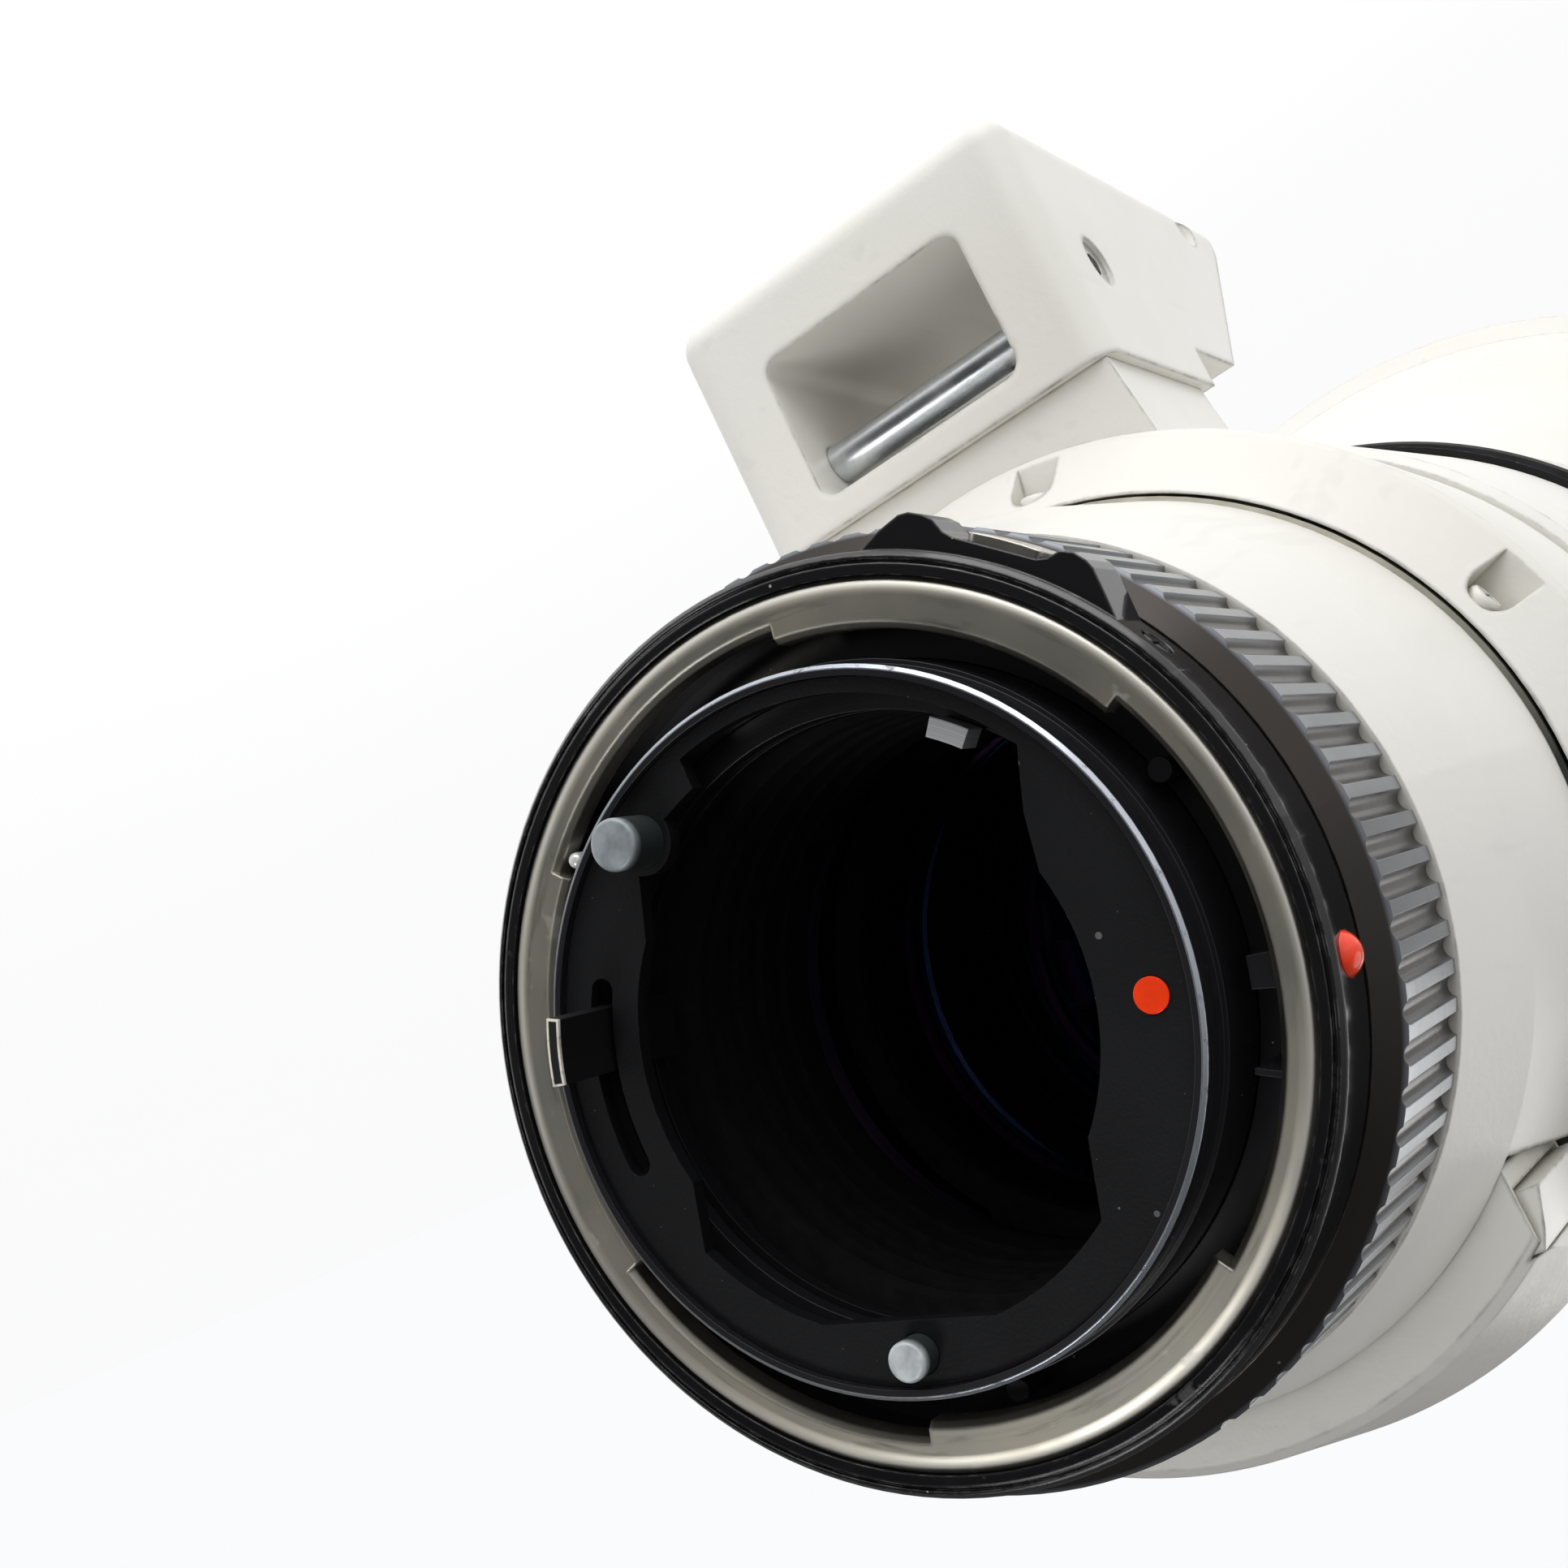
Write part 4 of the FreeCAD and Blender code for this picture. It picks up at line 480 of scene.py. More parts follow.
def fluted_ring(tree, shader):
    """Bluish black anodising that shines on the lands, with painted shade on the flute floors."""
    anodised(tree, shader, ((0.165, 0.175, 0.195), (0.205, 0.215, 0.235)), 0.30, 0.14, (0.45, 0.44, 0.43),
             (0.30, 0.30, 0.29), (0.18, 0.28), 0.9, 0.10 * MM, (0.050, 0.045, 0.042))


def satin_black(tree, shader, paint, gloss=(0.24, 0.38), wear=0.30, rounding=0.10 * MM):
    """Satin black anodising that shows grey along its arrises."""
    anodised(tree, shader, (paint.anodised, shaded(paint.anodised, 1.7)), wear, 0.16, (0.33, 0.32, 0.31),
             (0.25, 0.25, 0.24), gloss, 0.35, rounding)


def stop_black(tree, shader, *looks):
    """Black of the stops in the channel, with one bright spring ball among them."""
    satin_black(tree, shader, *looks)
    across = vectors(tree, "MULTIPLY", object_point(tree), (0.0, 1.0, 1.0))
    reach = vectors(tree, "DISTANCE", across.outputs[0], on_axis(0.0, SPRING_BALL_PLACE, SPRING_BALL_ANGLE))
    ball = sums(tree, "LESS_THAN", reach.outputs["Value"], SPRING_BALL_REACH)
    socket = shader.inputs["Base Color"]
    feed(tree, socket, blend(tree, ball, socket.links[0].from_socket, (0.86, 0.87, 0.85)))


def throat_black(tree, shader, paint):
    """Gloss black throat tube whose rear bevel is worn down to one bright, nicked line."""
    station, radius = axis_place(tree)
    bevel = stretch(tree, minus(tree, radius, station), *THROAT_BEVEL)
    nicks = patches(tree, 700.0, 4.0, 0.30, 0.42, 0.25, 1.0, 0.7)
    rubbed = stretch(tree, point_parts(tree)["Y"], *THROAT_RUBBED_SIDE, 0.15, 1.0)
    worn = times(tree, times(tree, bevel, nicks), rubbed)
    specks = dust(tree, 0.8 * MM, 0.12)
    colour = layered(tree, paint.anodised, (worn, (0.52, 0.55, 0.61)), (specks, (0.28, 0.28, 0.27)))
    surface(tree, shader, colour, None, worn)
    turned_finish(tree, shader, 0.14 * MM, 0.18, 0.32)


def pin_steel(tree, shader, rear_end, shine):
    """Pale, stained end face on a pin whose shank stays dull."""
    stain = patches(tree, 700.0, 2.0, 0.32, 0.56)
    colour = blend(tree, stain, shaded(shine, 0.66), shine)
    shank = stretch(tree, axis_place(tree)[0], rear_end + 0.3 * MM, rear_end + 0.9 * MM)
    surface(tree, shader, blend(tree, shank, colour, (0.035, 0.042, 0.042)), 0.46, 0.3)
    relief(tree, shader, stain, 0.006 * MM, 0.12 * MM)


def worn_signal(tree, shader, paint):
    """Signal lever with a bright filed tab on a black hoop."""
    station, radius = axis_place(tree)
    tab = sums(tree, "LESS_THAN", station, SIGNAL_TAB_FRONT)
    filed = noise(tree, stretched_along(tree, times(tree, radius, 9.0)), 900.0, 2.0)
    bright = blend(tree, stretch(tree, filed, 0.35, 0.65), (0.62, 0.63, 0.64), (0.84, 0.86, 0.88))
    surface(tree, shader, blend(tree, tab, paint.anodised, bright), 0.32, times(tree, tab, 0.55))
    relief(tree, shader, filed, 0.010 * MM, 0.12 * MM)


def worn_lever(tree, shader, paint):
    """Black lever whose rear end is bright along its outline: partly rubbed metal, partly a painted
    highlight.
    """
    station, radius = axis_place(tree)
    _, side, up = point_parts(tree)
    aside = plus(tree, times(tree, side, math.sin(LEVER_TURN)), times(tree, up, -math.cos(LEVER_TURN)))
    out = plus(tree, times(tree, side, math.cos(LEVER_TURN)), times(tree, up, math.sin(LEVER_TURN)))
    turn = sums(tree, "ABSOLUTE", sums(tree, "ARCTAN2", aside, out))
    reach = sums(tree, "ABSOLUTE", minus(tree, radius, LEVER_PLACE))
    outline = sums(tree, "MAXIMUM", stretch(tree, reach, *LEVER_HALF_HEIGHT),
                   stretch(tree, turn, *LEVER_HALF_WIDTH))
    end = sums(tree, "LESS_THAN", station, LEVER_END)
    # The outline at the rear end is painted bright: partly rubbed metal, partly a painted highlight.
    bright = times(tree, times(tree, outline, end), patches(tree, 1200.0, 3.0, 0.25, 0.5, 0.4))
    colour = blend(tree, bright, shaded(paint.anodised, 0.6), (0.95, 0.90, 0.80))
    surface(tree, shader, colour, 0.4, times(tree, bright, 0.3))
    relief(tree, shader, noise(tree, object_point(tree), 900.0, 2.0), 0.004 * MM, 0.06 * MM)


def wrinkle_black(tree, shader):
    """Dull black plate with a fine wrinkle and pale lint caught in it."""
    spot = object_point(tree)
    lint = dust(tree, 0.42 * MM, 0.16)
    large = dust(tree, 2.3 * MM, 0.12)
    rub = edge_wear(tree, 0.10 * MM, 0.24, 1500.0)
    pale = sums(tree, "MAXIMUM", lint, sums(tree, "MAXIMUM", large, rub))
    colour = layered(tree, (0.0036, 0.0038, 0.0047), (patches(tree, 90.0, 2.0), (0.0066, 0.0069, 0.0082)),
                     (times(tree, pale, 0.5), (0.20, 0.20, 0.20)))
    surface(tree, shader, colour, 0.55)
    wire(tree, shader, {"Specular IOR Level": 0.2})
    broad = times(tree, noise(tree, spot, 1300.0, 1.0), 0.5)
    wrinkle = plus(tree, noise(tree, spot, 3600.0, 2.0, 0.6), broad)
    relief(tree, shader, wrinkle, 0.05 * MM, 0.10 * MM)


def bayonet_steel(tree, shader):
    """Worn turned steel with a brass tint, dark streaks along it and a rounded outer edge, whose brighter
    colour is partly worn metal and partly a painted highlight.
    """
    spot = object_point(tree)
    _, radius = axis_place(tree)
    lathe = turned_marks(tree, 0.16 * MM)
    smear = patches(tree, 85.0, 4.0, 0.35, 0.65, rough=0.6)
    along = vectors(tree, "ADD", stretched_along(tree, times(tree, radius, 9.0)), spot).outputs[0]
    dark = stretch(tree, noise(tree, along, 130.0, 3.0, 0.6), 0.56, 0.72, 0.0, 0.5)
    middle = stretch(tree, radius, *STEEL_MIDDLE)
    # Painted highlight on the outer bevel, with some worn metal: a brighter colour there.
    rim_wear_and_highlight = stretch(tree, radius, *STEEL_RIM_HIGHLIGHT)
    marks = hairlines(tree, 0.5, 300.0)
    colour = layered(tree, (0.56, 0.54, 0.47), (lathe["Tone"], (0.66, 0.64, 0.57)),
                     (times(tree, smear, 0.5), (0.54, 0.49, 0.38)),
                     (times(tree, dark, middle), (0.13, 0.125, 0.105)), (rim_wear_and_highlight, (0.90, 0.87, 0.79)),
                     (times(tree, marks, 0.4), (0.86, 0.85, 0.82)))
    gloss = stretch(tree, smear, 0.0, 1.0, 0.34, 0.44)
    surface(tree, shader, colour, plus(tree, gloss, times(tree, marks, 0.15)), 1.0)
    wire(tree, shader, {"Anisotropic": 0.35})
    edge = stretch(tree, radius, *STEEL_ROUNDING)
    height = plus(tree, times(tree, lathe["Height"], 0.35), times(tree, marks, -0.4))
    height = minus(tree, height, times(tree, times(tree, edge, edge), 56.0))
    relief(tree, shader, height, 0.008 * MM, 0.28 * MM)


def plain_metal(tree, shader, light, dark, rough, rounding=0.10 * MM):
    """Bare metal with a fine tooled grain, smears and scratches."""
    grain = noise(tree, object_point(tree), 900.0, 3.0, 0.65)
    marks = hairlines(tree, 0.6, 420.0)
    colour = layered(tree, dark, (stretch(tree, grain, 0.3, 0.7), light),
                     (times(tree, marks, 0.4), (0.85, 0.85, 0.84)))
    smear = patches(tree, 260.0, 2.0, to_low=rough - 0.07, to_high=rough + 0.08)
    surface(tree, shader, colour, smear, 1.0)
    relief(tree, shader, grain, 0.006 * MM, rounding)


def index_enamel(tree, shader, paint):
    """Glossy orange-red enamel of the mounting marks."""
    tone = patches(tree, 900.0, 2.0)
    colour = blend(tree, tone, shaded(paint.index_red, 0.88), paint.index_red)
    surface(tree, shader, colour, stretch(tree, tone, 0.0, 1.0, 0.12, 0.20))
    wire(tree, shader, {"Coat Weight": 0.35})
    relief(tree, shader, tone, 0.006 * MM, 0.10 * MM)


def two_tone(tree, shader, dark, light, scale, depth, rough, specular=0.5, low=0.3, high=0.7):
    """Plain material that drifts between two colours."""
    tone = patches(tree, scale, 3.0, low, high)
    surface(tree, shader, blend(tree, tone, dark, light), rough)
    wire(tree, shader, {"Specular IOR Level": specular})
    relief(tree, shader, tone, depth)


def scale_paint(tree, shader, colour):
    """Paint that fills the figures and lines of a scale."""
    two_tone(tree, shader, shaded(colour, 0.72), colour, 2400.0, 0.008 * MM, 0.5, low=0.35, high=0.6)


def grip_rubber(tree, shader):
    """Dull black rubber with a bloom on its high spots."""
    bloom = patches(tree, 140.0, 4.0, 0.4, 0.75, rough=0.6)
    rub = edge_wear(tree, 0.25 * MM, 0.4, 500.0)
    lint = dust(tree, 1.1 * MM, 0.2)
    colour = layered(tree, (0.013, 0.013, 0.013), (bloom, (0.034, 0.033, 0.032)),
                     (times(tree, rub, 0.5), (0.09, 0.09, 0.088)), (lint, (0.22, 0.22, 0.21)))
    surface(tree, shader, colour, stretch(tree, bloom, 0.0, 1.0, 0.55, 0.78))
    relief(tree, shader, noise(tree, object_point(tree), 2600.0, 2.0, 0.6), 0.02 * MM, 0.12 * MM)


def coated_glass(tree, shader, film):
    """Clear optical glass with a tinted coating that colours its reflections."""
    film_dust = dust(tree, 2.6 * MM, 0.12)
    surface(tree, shader, (0.97, 0.985, 0.98, 1), times(tree, film_dust, 0.35))
    wire(tree, shader, {"IOR": 1.58, "Transmission Weight": 1.0, "Thin Film Thickness": film,
                        "Thin Film IOR": 1.38})


PALETTE = {}


def palette():
    """Every material of the lens, made once."""
    if PALETTE:
        return PALETTE
    paint = bpy.context.scene.lens_paint
    soft = bpy.context.scene.lens_sizes.edge_round
    recipes = {
        "white_enamel": (white_enamel, paint, soft),
        "foot_enamel": (white_enamel, paint, 2.4 * soft),
        "shell_enamel": (white_enamel, paint, soft, SHELL_BORES),
        "drum_enamel": (white_enamel, paint, soft, DRUM_BORES),
        # The pockets take the full mask of grime and painted shade.
        "pocket_enamel": (white_enamel, paint, 0.3 * soft, None, 1.0),
        "seam_metal": (seam_metal,),
        "gloss_band": (gloss_band, paint),
        "fluted_ring": (fluted_ring,),
        "satin_black": (satin_black, paint),
        "base_black": (satin_black, paint, (0.16, 0.30), 0.12, 0.06 * MM),
        "stop_black": (stop_black, paint, (0.16, 0.30), 0.12, 0.06 * MM),
        "cell_black": (satin_black, paint, (0.49, 0.63), 0.0),
        "throat_black": (throat_black, paint),
        "wrinkle_black": (wrinkle_black,),
        "dead_black": (two_tone, (0.004, 0.004, 0.004), (0.009, 0.009, 0.0095), 700.0, 0.02 * MM, 0.82,
                       0.25),
        "bayonet_steel": (bayonet_steel,),
        "bright_steel": (plain_metal, (0.66, 0.66, 0.65), (0.50, 0.50, 0.49), 0.26),
        "zinc_rod": (plain_metal, (0.78, 0.81, 0.84), (0.64, 0.68, 0.72), 0.28, 0.2 * MM),
        "satin_nickel": (plain_metal, (0.80, 0.77, 0.70), (0.66, 0.63, 0.56), 0.24, 0.2 * MM),
        "blade_steel": (plain_metal, (0.16, 0.16, 0.165), (0.11, 0.11, 0.115), 0.42, 0.0),
        "worn_lever": (worn_lever, paint),
        "worn_signal": (worn_signal, paint),
        "long_pin_steel": (pin_steel, LONG_PIN_END, (0.37, 0.41, 0.43)),
        "short_pin_steel": (pin_steel, SHORT_PIN_END, (0.62, 0.66, 0.68)),
        "index_enamel": (index_enamel, paint),
        "scale_white": (scale_paint, paint.numerals),
        "scale_green": (scale_paint, (0.02, 0.32, 0.10)),
        "scale_black": (scale_paint, (0.012, 0.012, 0.012)),
        "liner_plastic": (two_tone, (0.52, 0.50, 0.45), (0.62, 0.60, 0.55), 120.0, 0.01 * MM, 0.45),
        "grip_rubber": (grip_rubber,),
        "front_glass": (coated_glass, 410.0),
        "inner_glass": (coated_glass, 520.0),
    }
    PALETTE.update((name, new_material(name, *recipe)) for name, recipe in recipes.items())
    return PALETTE


def finish_nodes(nodes):
    """Gives nodes of the construction their materials."""
    for finish, names in nodes.items():
        for name in names.split():
            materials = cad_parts[name].data.materials
            materials.clear()
            materials.append(palette()[finish])


def add_object(name, data):
    """Puts an object in the scene."""
    item = bpy.data.objects.new(name, data)
    bpy.context.scene.collection.objects.link(item)
    return item


# Shapes

def on_axis(station, radius, angle):
    """Point at a station and a radius, at an angle in degrees about the optical axis."""
    turn = math.radians(angle)
    return Vector((station, radius * math.cos(turn), radius * math.sin(turn)))


def new_piece(name, mesh, body, slot, finish, *replaced):
    """Puts a finished mesh in the scene, hangs it on its body and hides the nodes that it replaces."""
    piece = add_object(name, mesh)
    mesh.materials.clear()
    mesh.materials.append(palette()[finish])
    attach(piece, body)
    if replaced:
        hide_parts(*replaced)


def band_of_faces(build, first, second):
    """Closed band of faces between two rounds of points."""
    for here in range(len(first)):
        following = (here + 1) % len(first)
        build.faces.new((first[here], first[following], second[following], second[here]))


def spun_mesh(profile, steps):
    """Closed mesh turned round the axis from a closed outline of (station, radius) points."""
    build = bmesh.new()
    rings = [[build.verts.new(on_axis(station, radius, 360 * step / steps)) for station, radius in profile]
             for step in range(steps)]
    for first, second in zip(rings, rings[1:] + rings[:1]):
        band_of_faces(build, first, second)
    return settled(build, "turned")


def settled(build, name, moved=None, smooth=True, outwards=True):
    """Turns an edited mesh into stored mesh data, with its faces outwards."""
    if moved:
        bmesh.ops.translate(build, verts=build.verts, vec=moved)
    if outwards:
        bmesh.ops.recalc_face_normals(build, faces=build.faces)
    mesh = bpy.data.meshes.new(name)
    build.to_mesh(mesh)
    build.free()
    if smooth:
        mesh.shade_smooth()
        mesh.set_sharp_from_angle(angle=math.radians(34))
    return mesh


# Repeats

def polar_tree():
    """Geometry tree that repeats a part round the optical axis and along it."""
    name = "Round the Axis"
    if name in bpy.data.node_groups:
        return bpy.data.node_groups[name]
    tree = bpy.data.node_groups.new(name, "GeometryNodeTree")
    tree.is_modifier = True
    add_sockets(tree, "INPUT", "Geometry", "Geometry")
    add_sockets(tree, "INPUT", "Int", "Count", "Rows")
    add_sockets(tree, "INPUT", "Float", "First Angle", "Angle Step", "Row Step")
    add_sockets(tree, "INPUT", "Material", "Material")
    add_sockets(tree, "OUTPUT", "Geometry", "Geometry")
    given = tree.nodes.new("NodeGroupInput").outputs
    index = tree.nodes.new("GeometryNodeInputIndex").outputs[0]
    row = sums(tree, "FLOOR", sums(tree, "DIVIDE", plus(tree, index, 0.5), given["Count"]))
    column = minus(tree, index, times(tree, row, given["Count"]))
    turn = plus(tree, given["First Angle"], times(tree, column, given["Angle Step"]))
    rows_along = stretched_along(tree, times(tree, row, given["Row Step"]))
    points = place(tree, "GeometryNodePoints", {
        "Count": times(tree, given["Count"], given["Rows"]), "Position": rows_along})
    copies = place(tree, "GeometryNodeInstanceOnPoints", {
        "Points": points.outputs[0], "Instance": given["Geometry"],
        "Rotation": stretched_along(tree, turn)})
    real = place(tree, "GeometryNodeRealizeInstances", {"Geometry": copies.outputs[0]})
    painted = place(tree, "GeometryNodeSetMaterial", {
        "Geometry": real.outputs[0], "Material": given["Material"]})
    feed(tree, tree.nodes.new("NodeGroupOutput").inputs[0], painted.outputs[0])
    return tree


def evaluated_mesh(holder):
    """Plain mesh of an object with modifiers or letters, which is then taken away."""
    shown = holder.evaluated_get(bpy.context.evaluated_depsgraph_get())
    mesh = bpy.data.meshes.new_from_object(shown)
    bpy.data.objects.remove(holder)
    return mesh


def repeated(mesh, finish, count, first_angle=0.0, rows=1, row_step=0.0):
    """Mesh of a part that the geometry tree repeats all round the axis, in rows along it."""
    holder = add_object("repeat_source", mesh)
    modifier = holder.modifiers.new("Repeat", "NODES")
    modifier.node_group = polar_tree()
    settings = {"Count": count, "Rows": rows, "First Angle": math.radians(first_angle),
                "Angle Step": 2 * math.pi / count, "Row Step": row_step, "Material": palette()[finish]}
    for item in modifier.node_group.interface.items_tree:
        if item.in_out == "INPUT" and item.name in settings:
            modifier[item.identifier] = settings[item.name]
    return evaluated_mesh(holder)


def cross_head(radius, rise, slot_length, slot_width, slot_depth, station, away):
    """Screw head above +Y with a cross recess in its crowned top, at a station and away from the axis."""
    build = bmesh.new()
    steps = 32
    half = slot_width / 2
    arm = ((half, half), (half, slot_length), (-half, slot_length))
    outline = [point for x, z in ((1, 0), (0, 1), (-1, 0), (0, -1))
               for point in [(p * x - q * z, p * z + q * x) for p, q in arm]]
    top = rise * 1.12
    inner = [build.verts.new((x, top, z)) for x, z in outline]
    floor = [build.verts.new((x * 0.8, top - slot_depth, z * 0.8)) for x, z in outline]
    band_of_faces(build, inner, floor)
    build.faces.new(floor)
    rims = []
    for share, height in ((0.82, top), (0.95, rise * 0.85), (1.0, rise * 0.55), (1.0, -rise * 0.2)):
        points = [on_axis(height, radius * share, 360 * step / steps) for step in range(steps)]
        rims.append([build.verts.new((point.y, point.x, point.z)) for point in points])
    for lower, upper in zip(rims, rims[1:]):
        band_of_faces(build, lower, upper)
    build.faces.new(rims[-1])
    border = [edge for edge in build.edges if edge.is_boundary]
    bmesh.ops.triangle_fill(build, edges=border, use_beauty=True)
    return settled(build, "screw_head", (station, away, 0))


def rubber_stud(length, width, height, station, away):
    """Rubber stud with sloped sides above +Y, at a station and away from the axis."""
    build = bmesh.new()
    rings = []
    for inset, level in ((0.0, 0.0), (0.0, height * 0.6), (0.22 * MM, height)):
        long = length / 2 - inset
        wide = width / 2 - inset
        corners = ((long, wide), (-long, wide), (-long, -wide), (long, -wide))
        rings.append([build.verts.new((x, level, z)) for x, z in corners])
    for lower, upper in zip(rings, rings[1:]):
        band_of_faces(build, lower, upper)
    for end in (rings[0], rings[-1]):
        build.faces.new(end)
    return settled(build, "grip_stud", (station, away, 0), smooth=False)


def on_barrel(mesh, station, angle, radius, flare=0.0):
    """Wraps flat artwork round the barrel, with its top forward and its right to larger angles."""
    for vertex in mesh.vertices:
        right, up, out = vertex.co
        vertex.co = on_axis(station + up, radius + flare * up + out, angle + math.degrees(right / radius))
    return mesh


def figure_mesh(words, height, depth, station, angle, radius, lying=False):
    """Painted figure on the barrel, which lies on its side if need be."""
    curve = bpy.data.curves.new("figure", "FONT")
    curve.body = words
    curve.size = height / 0.7
    curve.extrude = depth
    curve.align_x = "CENTER"
    curve.align_y = "CENTER"
    curve.resolution_u = 3
    build = bmesh.new()
    build.from_mesh(evaluated_mesh(add_object("figure", curve)))
    bmesh.ops.remove_doubles(build, verts=build.verts, dist=1e-7)
    long_edges = [edge for edge in build.edges if edge.calc_length() > height / 4]
    bmesh.ops.subdivide_edges(build, edges=long_edges, cuts=2)
    bmesh.ops.triangulate(build, faces=build.faces)
    if lying:
        bmesh.ops.rotate(build, verts=build.verts, matrix=Matrix.Rotation(math.pi / 2, 3, "Z"))
    return on_barrel(settled(build, "figure", smooth=False), station, angle, radius)


def line_mesh(length, width, depth, station, angle, radius, flare=0.0):
    """Painted line that runs along the barrel, centred on a station."""
    build = bmesh.new()
    bmesh.ops.create_grid(build, x_segments=2, y_segments=6, size=0.5)
    shell = bmesh.ops.extrude_face_region(build, geom=build.faces[:])
    raised = [item for item in shell["geom"] if isinstance(item, bmesh.types.BMVert)]
    for vertex in build.verts:
        vertex.co.x *= width
        vertex.co.y *= length
        vertex.co.z = depth if vertex in raised else -depth
    return on_barrel(settled(build, "line", smooth=False), station, angle, radius, flare)


def joined(meshes, name):
    """One mesh made of several."""
    build = bmesh.new()
    for mesh in meshes:
        build.from_mesh(mesh)
        bpy.data.meshes.remove(mesh)
    return settled(build, name, smooth=False, outwards=False)


# Operators

def scale_marks(entries, row, height, tick_row, tick_length, radius, depth):
    """Figures and their lines on one ring, from angles, words and whether the words lie down."""
    marks = []
    for angle, words, lying in entries:
        marks.append(figure_mesh(words, height, depth, row, angle, radius, lying))
        marks.append(line_mesh(tick_length, 0.25 * MM, depth, tick_row, angle, radius))
    return marks


class LENS_OT_scales(bpy.types.Operator):
    """Paint the figures and index lines of the aperture and distance scales"""
    bl_idname = "lens.scales"
    bl_label = "Paint the Scales"

    def execute(self, context):
        sizes = context.scene.lens_sizes
        depth = sizes.figure_depth
        radius = node_round("aperture_ring")[2] - depth / 2
        stops = [(TOP + STOP_STEP * count, stop, False) for count, stop in enumerate(STOPS)]
        marks = scale_marks(stops, STOP_ROW, sizes.figure_height, STOP_TICK_ROW, 1.6 * MM, radius, depth)
        new_piece("aperture_figures", joined(marks, "aperture_figures"), "aperture_ring", "black_anodised",
                  "scale_white")
        automatic = TOP + STOP_STEP * len(STOPS)
        circle = figure_mesh("o", sizes.figure_height * 1.2, depth, STOP_ROW, automatic, radius)
        new_piece("automatic_mark", circle, "aperture_ring", "black_anodised", "scale_green")
        start, _, lip = node_round("focus_ring")
        places = [(TOP - turn, words, turn == 0) for turn, words in DISTANCES.items()]
        marks = scale_marks(places, start + 2.9 * MM, 2.2 * MM, start + 0.7 * MM, 0.8 * MM, lip - depth / 2,
                            depth)
        new_piece("distance_figures", joined(marks, "distance_figures"), "focus_ring", "black_anodised",
                  "scale_white")
        shell_end = node_round("mid_shell")[0] + SHELL_LENGTH
        lines = [
            line_mesh(3.4 * MM, 0.45 * MM, depth, shell_end - SHELL_LINE_SETBACK, TOP,
                      SHELL_END_RADIUS - SHELL_LINE_SETBACK * SHELL_FLARE, SHELL_FLARE),
            line_mesh(4.2 * MM, 0.45 * MM, depth, TUBE_LINE_STATION, TOP, TUBE_LINE_RADIUS, TUBE_FLARE)]
        new_piece("index_lines", joined(lines, "index_lines"), "barrel", "black_anodised", "scale_black")
        return {"FINISHED"}


class LENS_OT_shells(bpy.types.Operator):
    """Paint the white shells, the collar and the foot"""
    bl_idname = "lens.shells"
    bl_label = "Paint the Shells"

    def execute(self, context):
        finish_nodes({
            "white_enamel": "drawer_cover drawer_latch_left drawer_latch_right collar_ring mid_shell "
                            "cone_barrel",
            "shell_enamel": "rear_tube",
            "foot_enamel": "foot_block",
            "drum_enamel": "front_drum",
            "seam_metal": "main_tube",
            "zinc_rod": "foot_cross_bolt",
            "bright_steel": "foot_rail foot_screws strap_lugs collar_lock_stud tripod_bushes",
            "liner_plastic": "collar_lining",
            "satin_black": "front_ring focus_ring",
        })
        return {"FINISHED"}


class LENS_OT_mount(bpy.types.Operator):
    """Finish the breech mount, its levers and its marks"""
    bl_idname = "lens.mount"
    bl_label = "Finish the Mount"

    def execute(self, context):
        finish_nodes({
            "gloss_band": "mount_band",
            "bayonet_steel": "breech_ring",
            "base_black": "mount_base",
            "stop_black": "channel_stops",
            "throat_black": "mount_tube",
            "wrinkle_black": "mount_plate",
            "index_enamel": "index_dome index_dot",
            "satin_nickel": "lock_button",
            "worn_signal": "signal_lever",
            "worn_lever": "stopdown_lever",
            "long_pin_steel": "full_aperture_pin",
            "short_pin_steel": "program_pin",
            "fluted_ring": "aperture_ring",
        })
        return {"FINISHED"}


class LENS_OT_inside(bpy.types.Operator):
    """Finish the optics, the cells and the iris"""
    bl_idname = "lens.inside"
    bl_label = "Finish the Inside"

    def execute(self, context):
        finish_nodes({
            "front_glass": "front_element_1",
            "inner_glass": "front_element_2 front_element_3 focus_elements rear_elements drop_in_filter",
            "dead_black": "rear_baffle front_cell front_spacer front_retainers rear_cell drawer_frame",
            "cell_black": "focus_cell iris_housing iris_ring",
            "blade_steel": " ".join("iris_blade_" + str(blade) for blade in range(1, 9)),
        })
        return {"FINISHED"}


class LENS_OT_screws(bpy.types.Operator):
    """Make the cross-head screws of the band and of the collar's pockets"""
    bl_idname = "lens.screws"
    bl_label = "Make the Screws"

    def execute(self, context):
        head = cross_head(*BAND_SCREW_HEAD, 2.6 * MM, BAND_SCREW_FOOT)
        new_piece("band_screw_heads", repeated(head, "base_black", 3, BAND_SCREW_ANGLE), "barrel", "nickel",
                  "base_black", "band_screws")
        station = node_round("collar_screws")[0] + 1.6 * MM
        head = cross_head(*POCKET_SCREW_HEAD, station, POCKET_FLOOR)
        new_piece("pocket_screw_heads", repeated(head, "pocket_enamel", 6, POCKET_SCREW_ANGLE), "stand",
                  "steel", "pocket_enamel", "collar_screws")
        return {"FINISHED"}


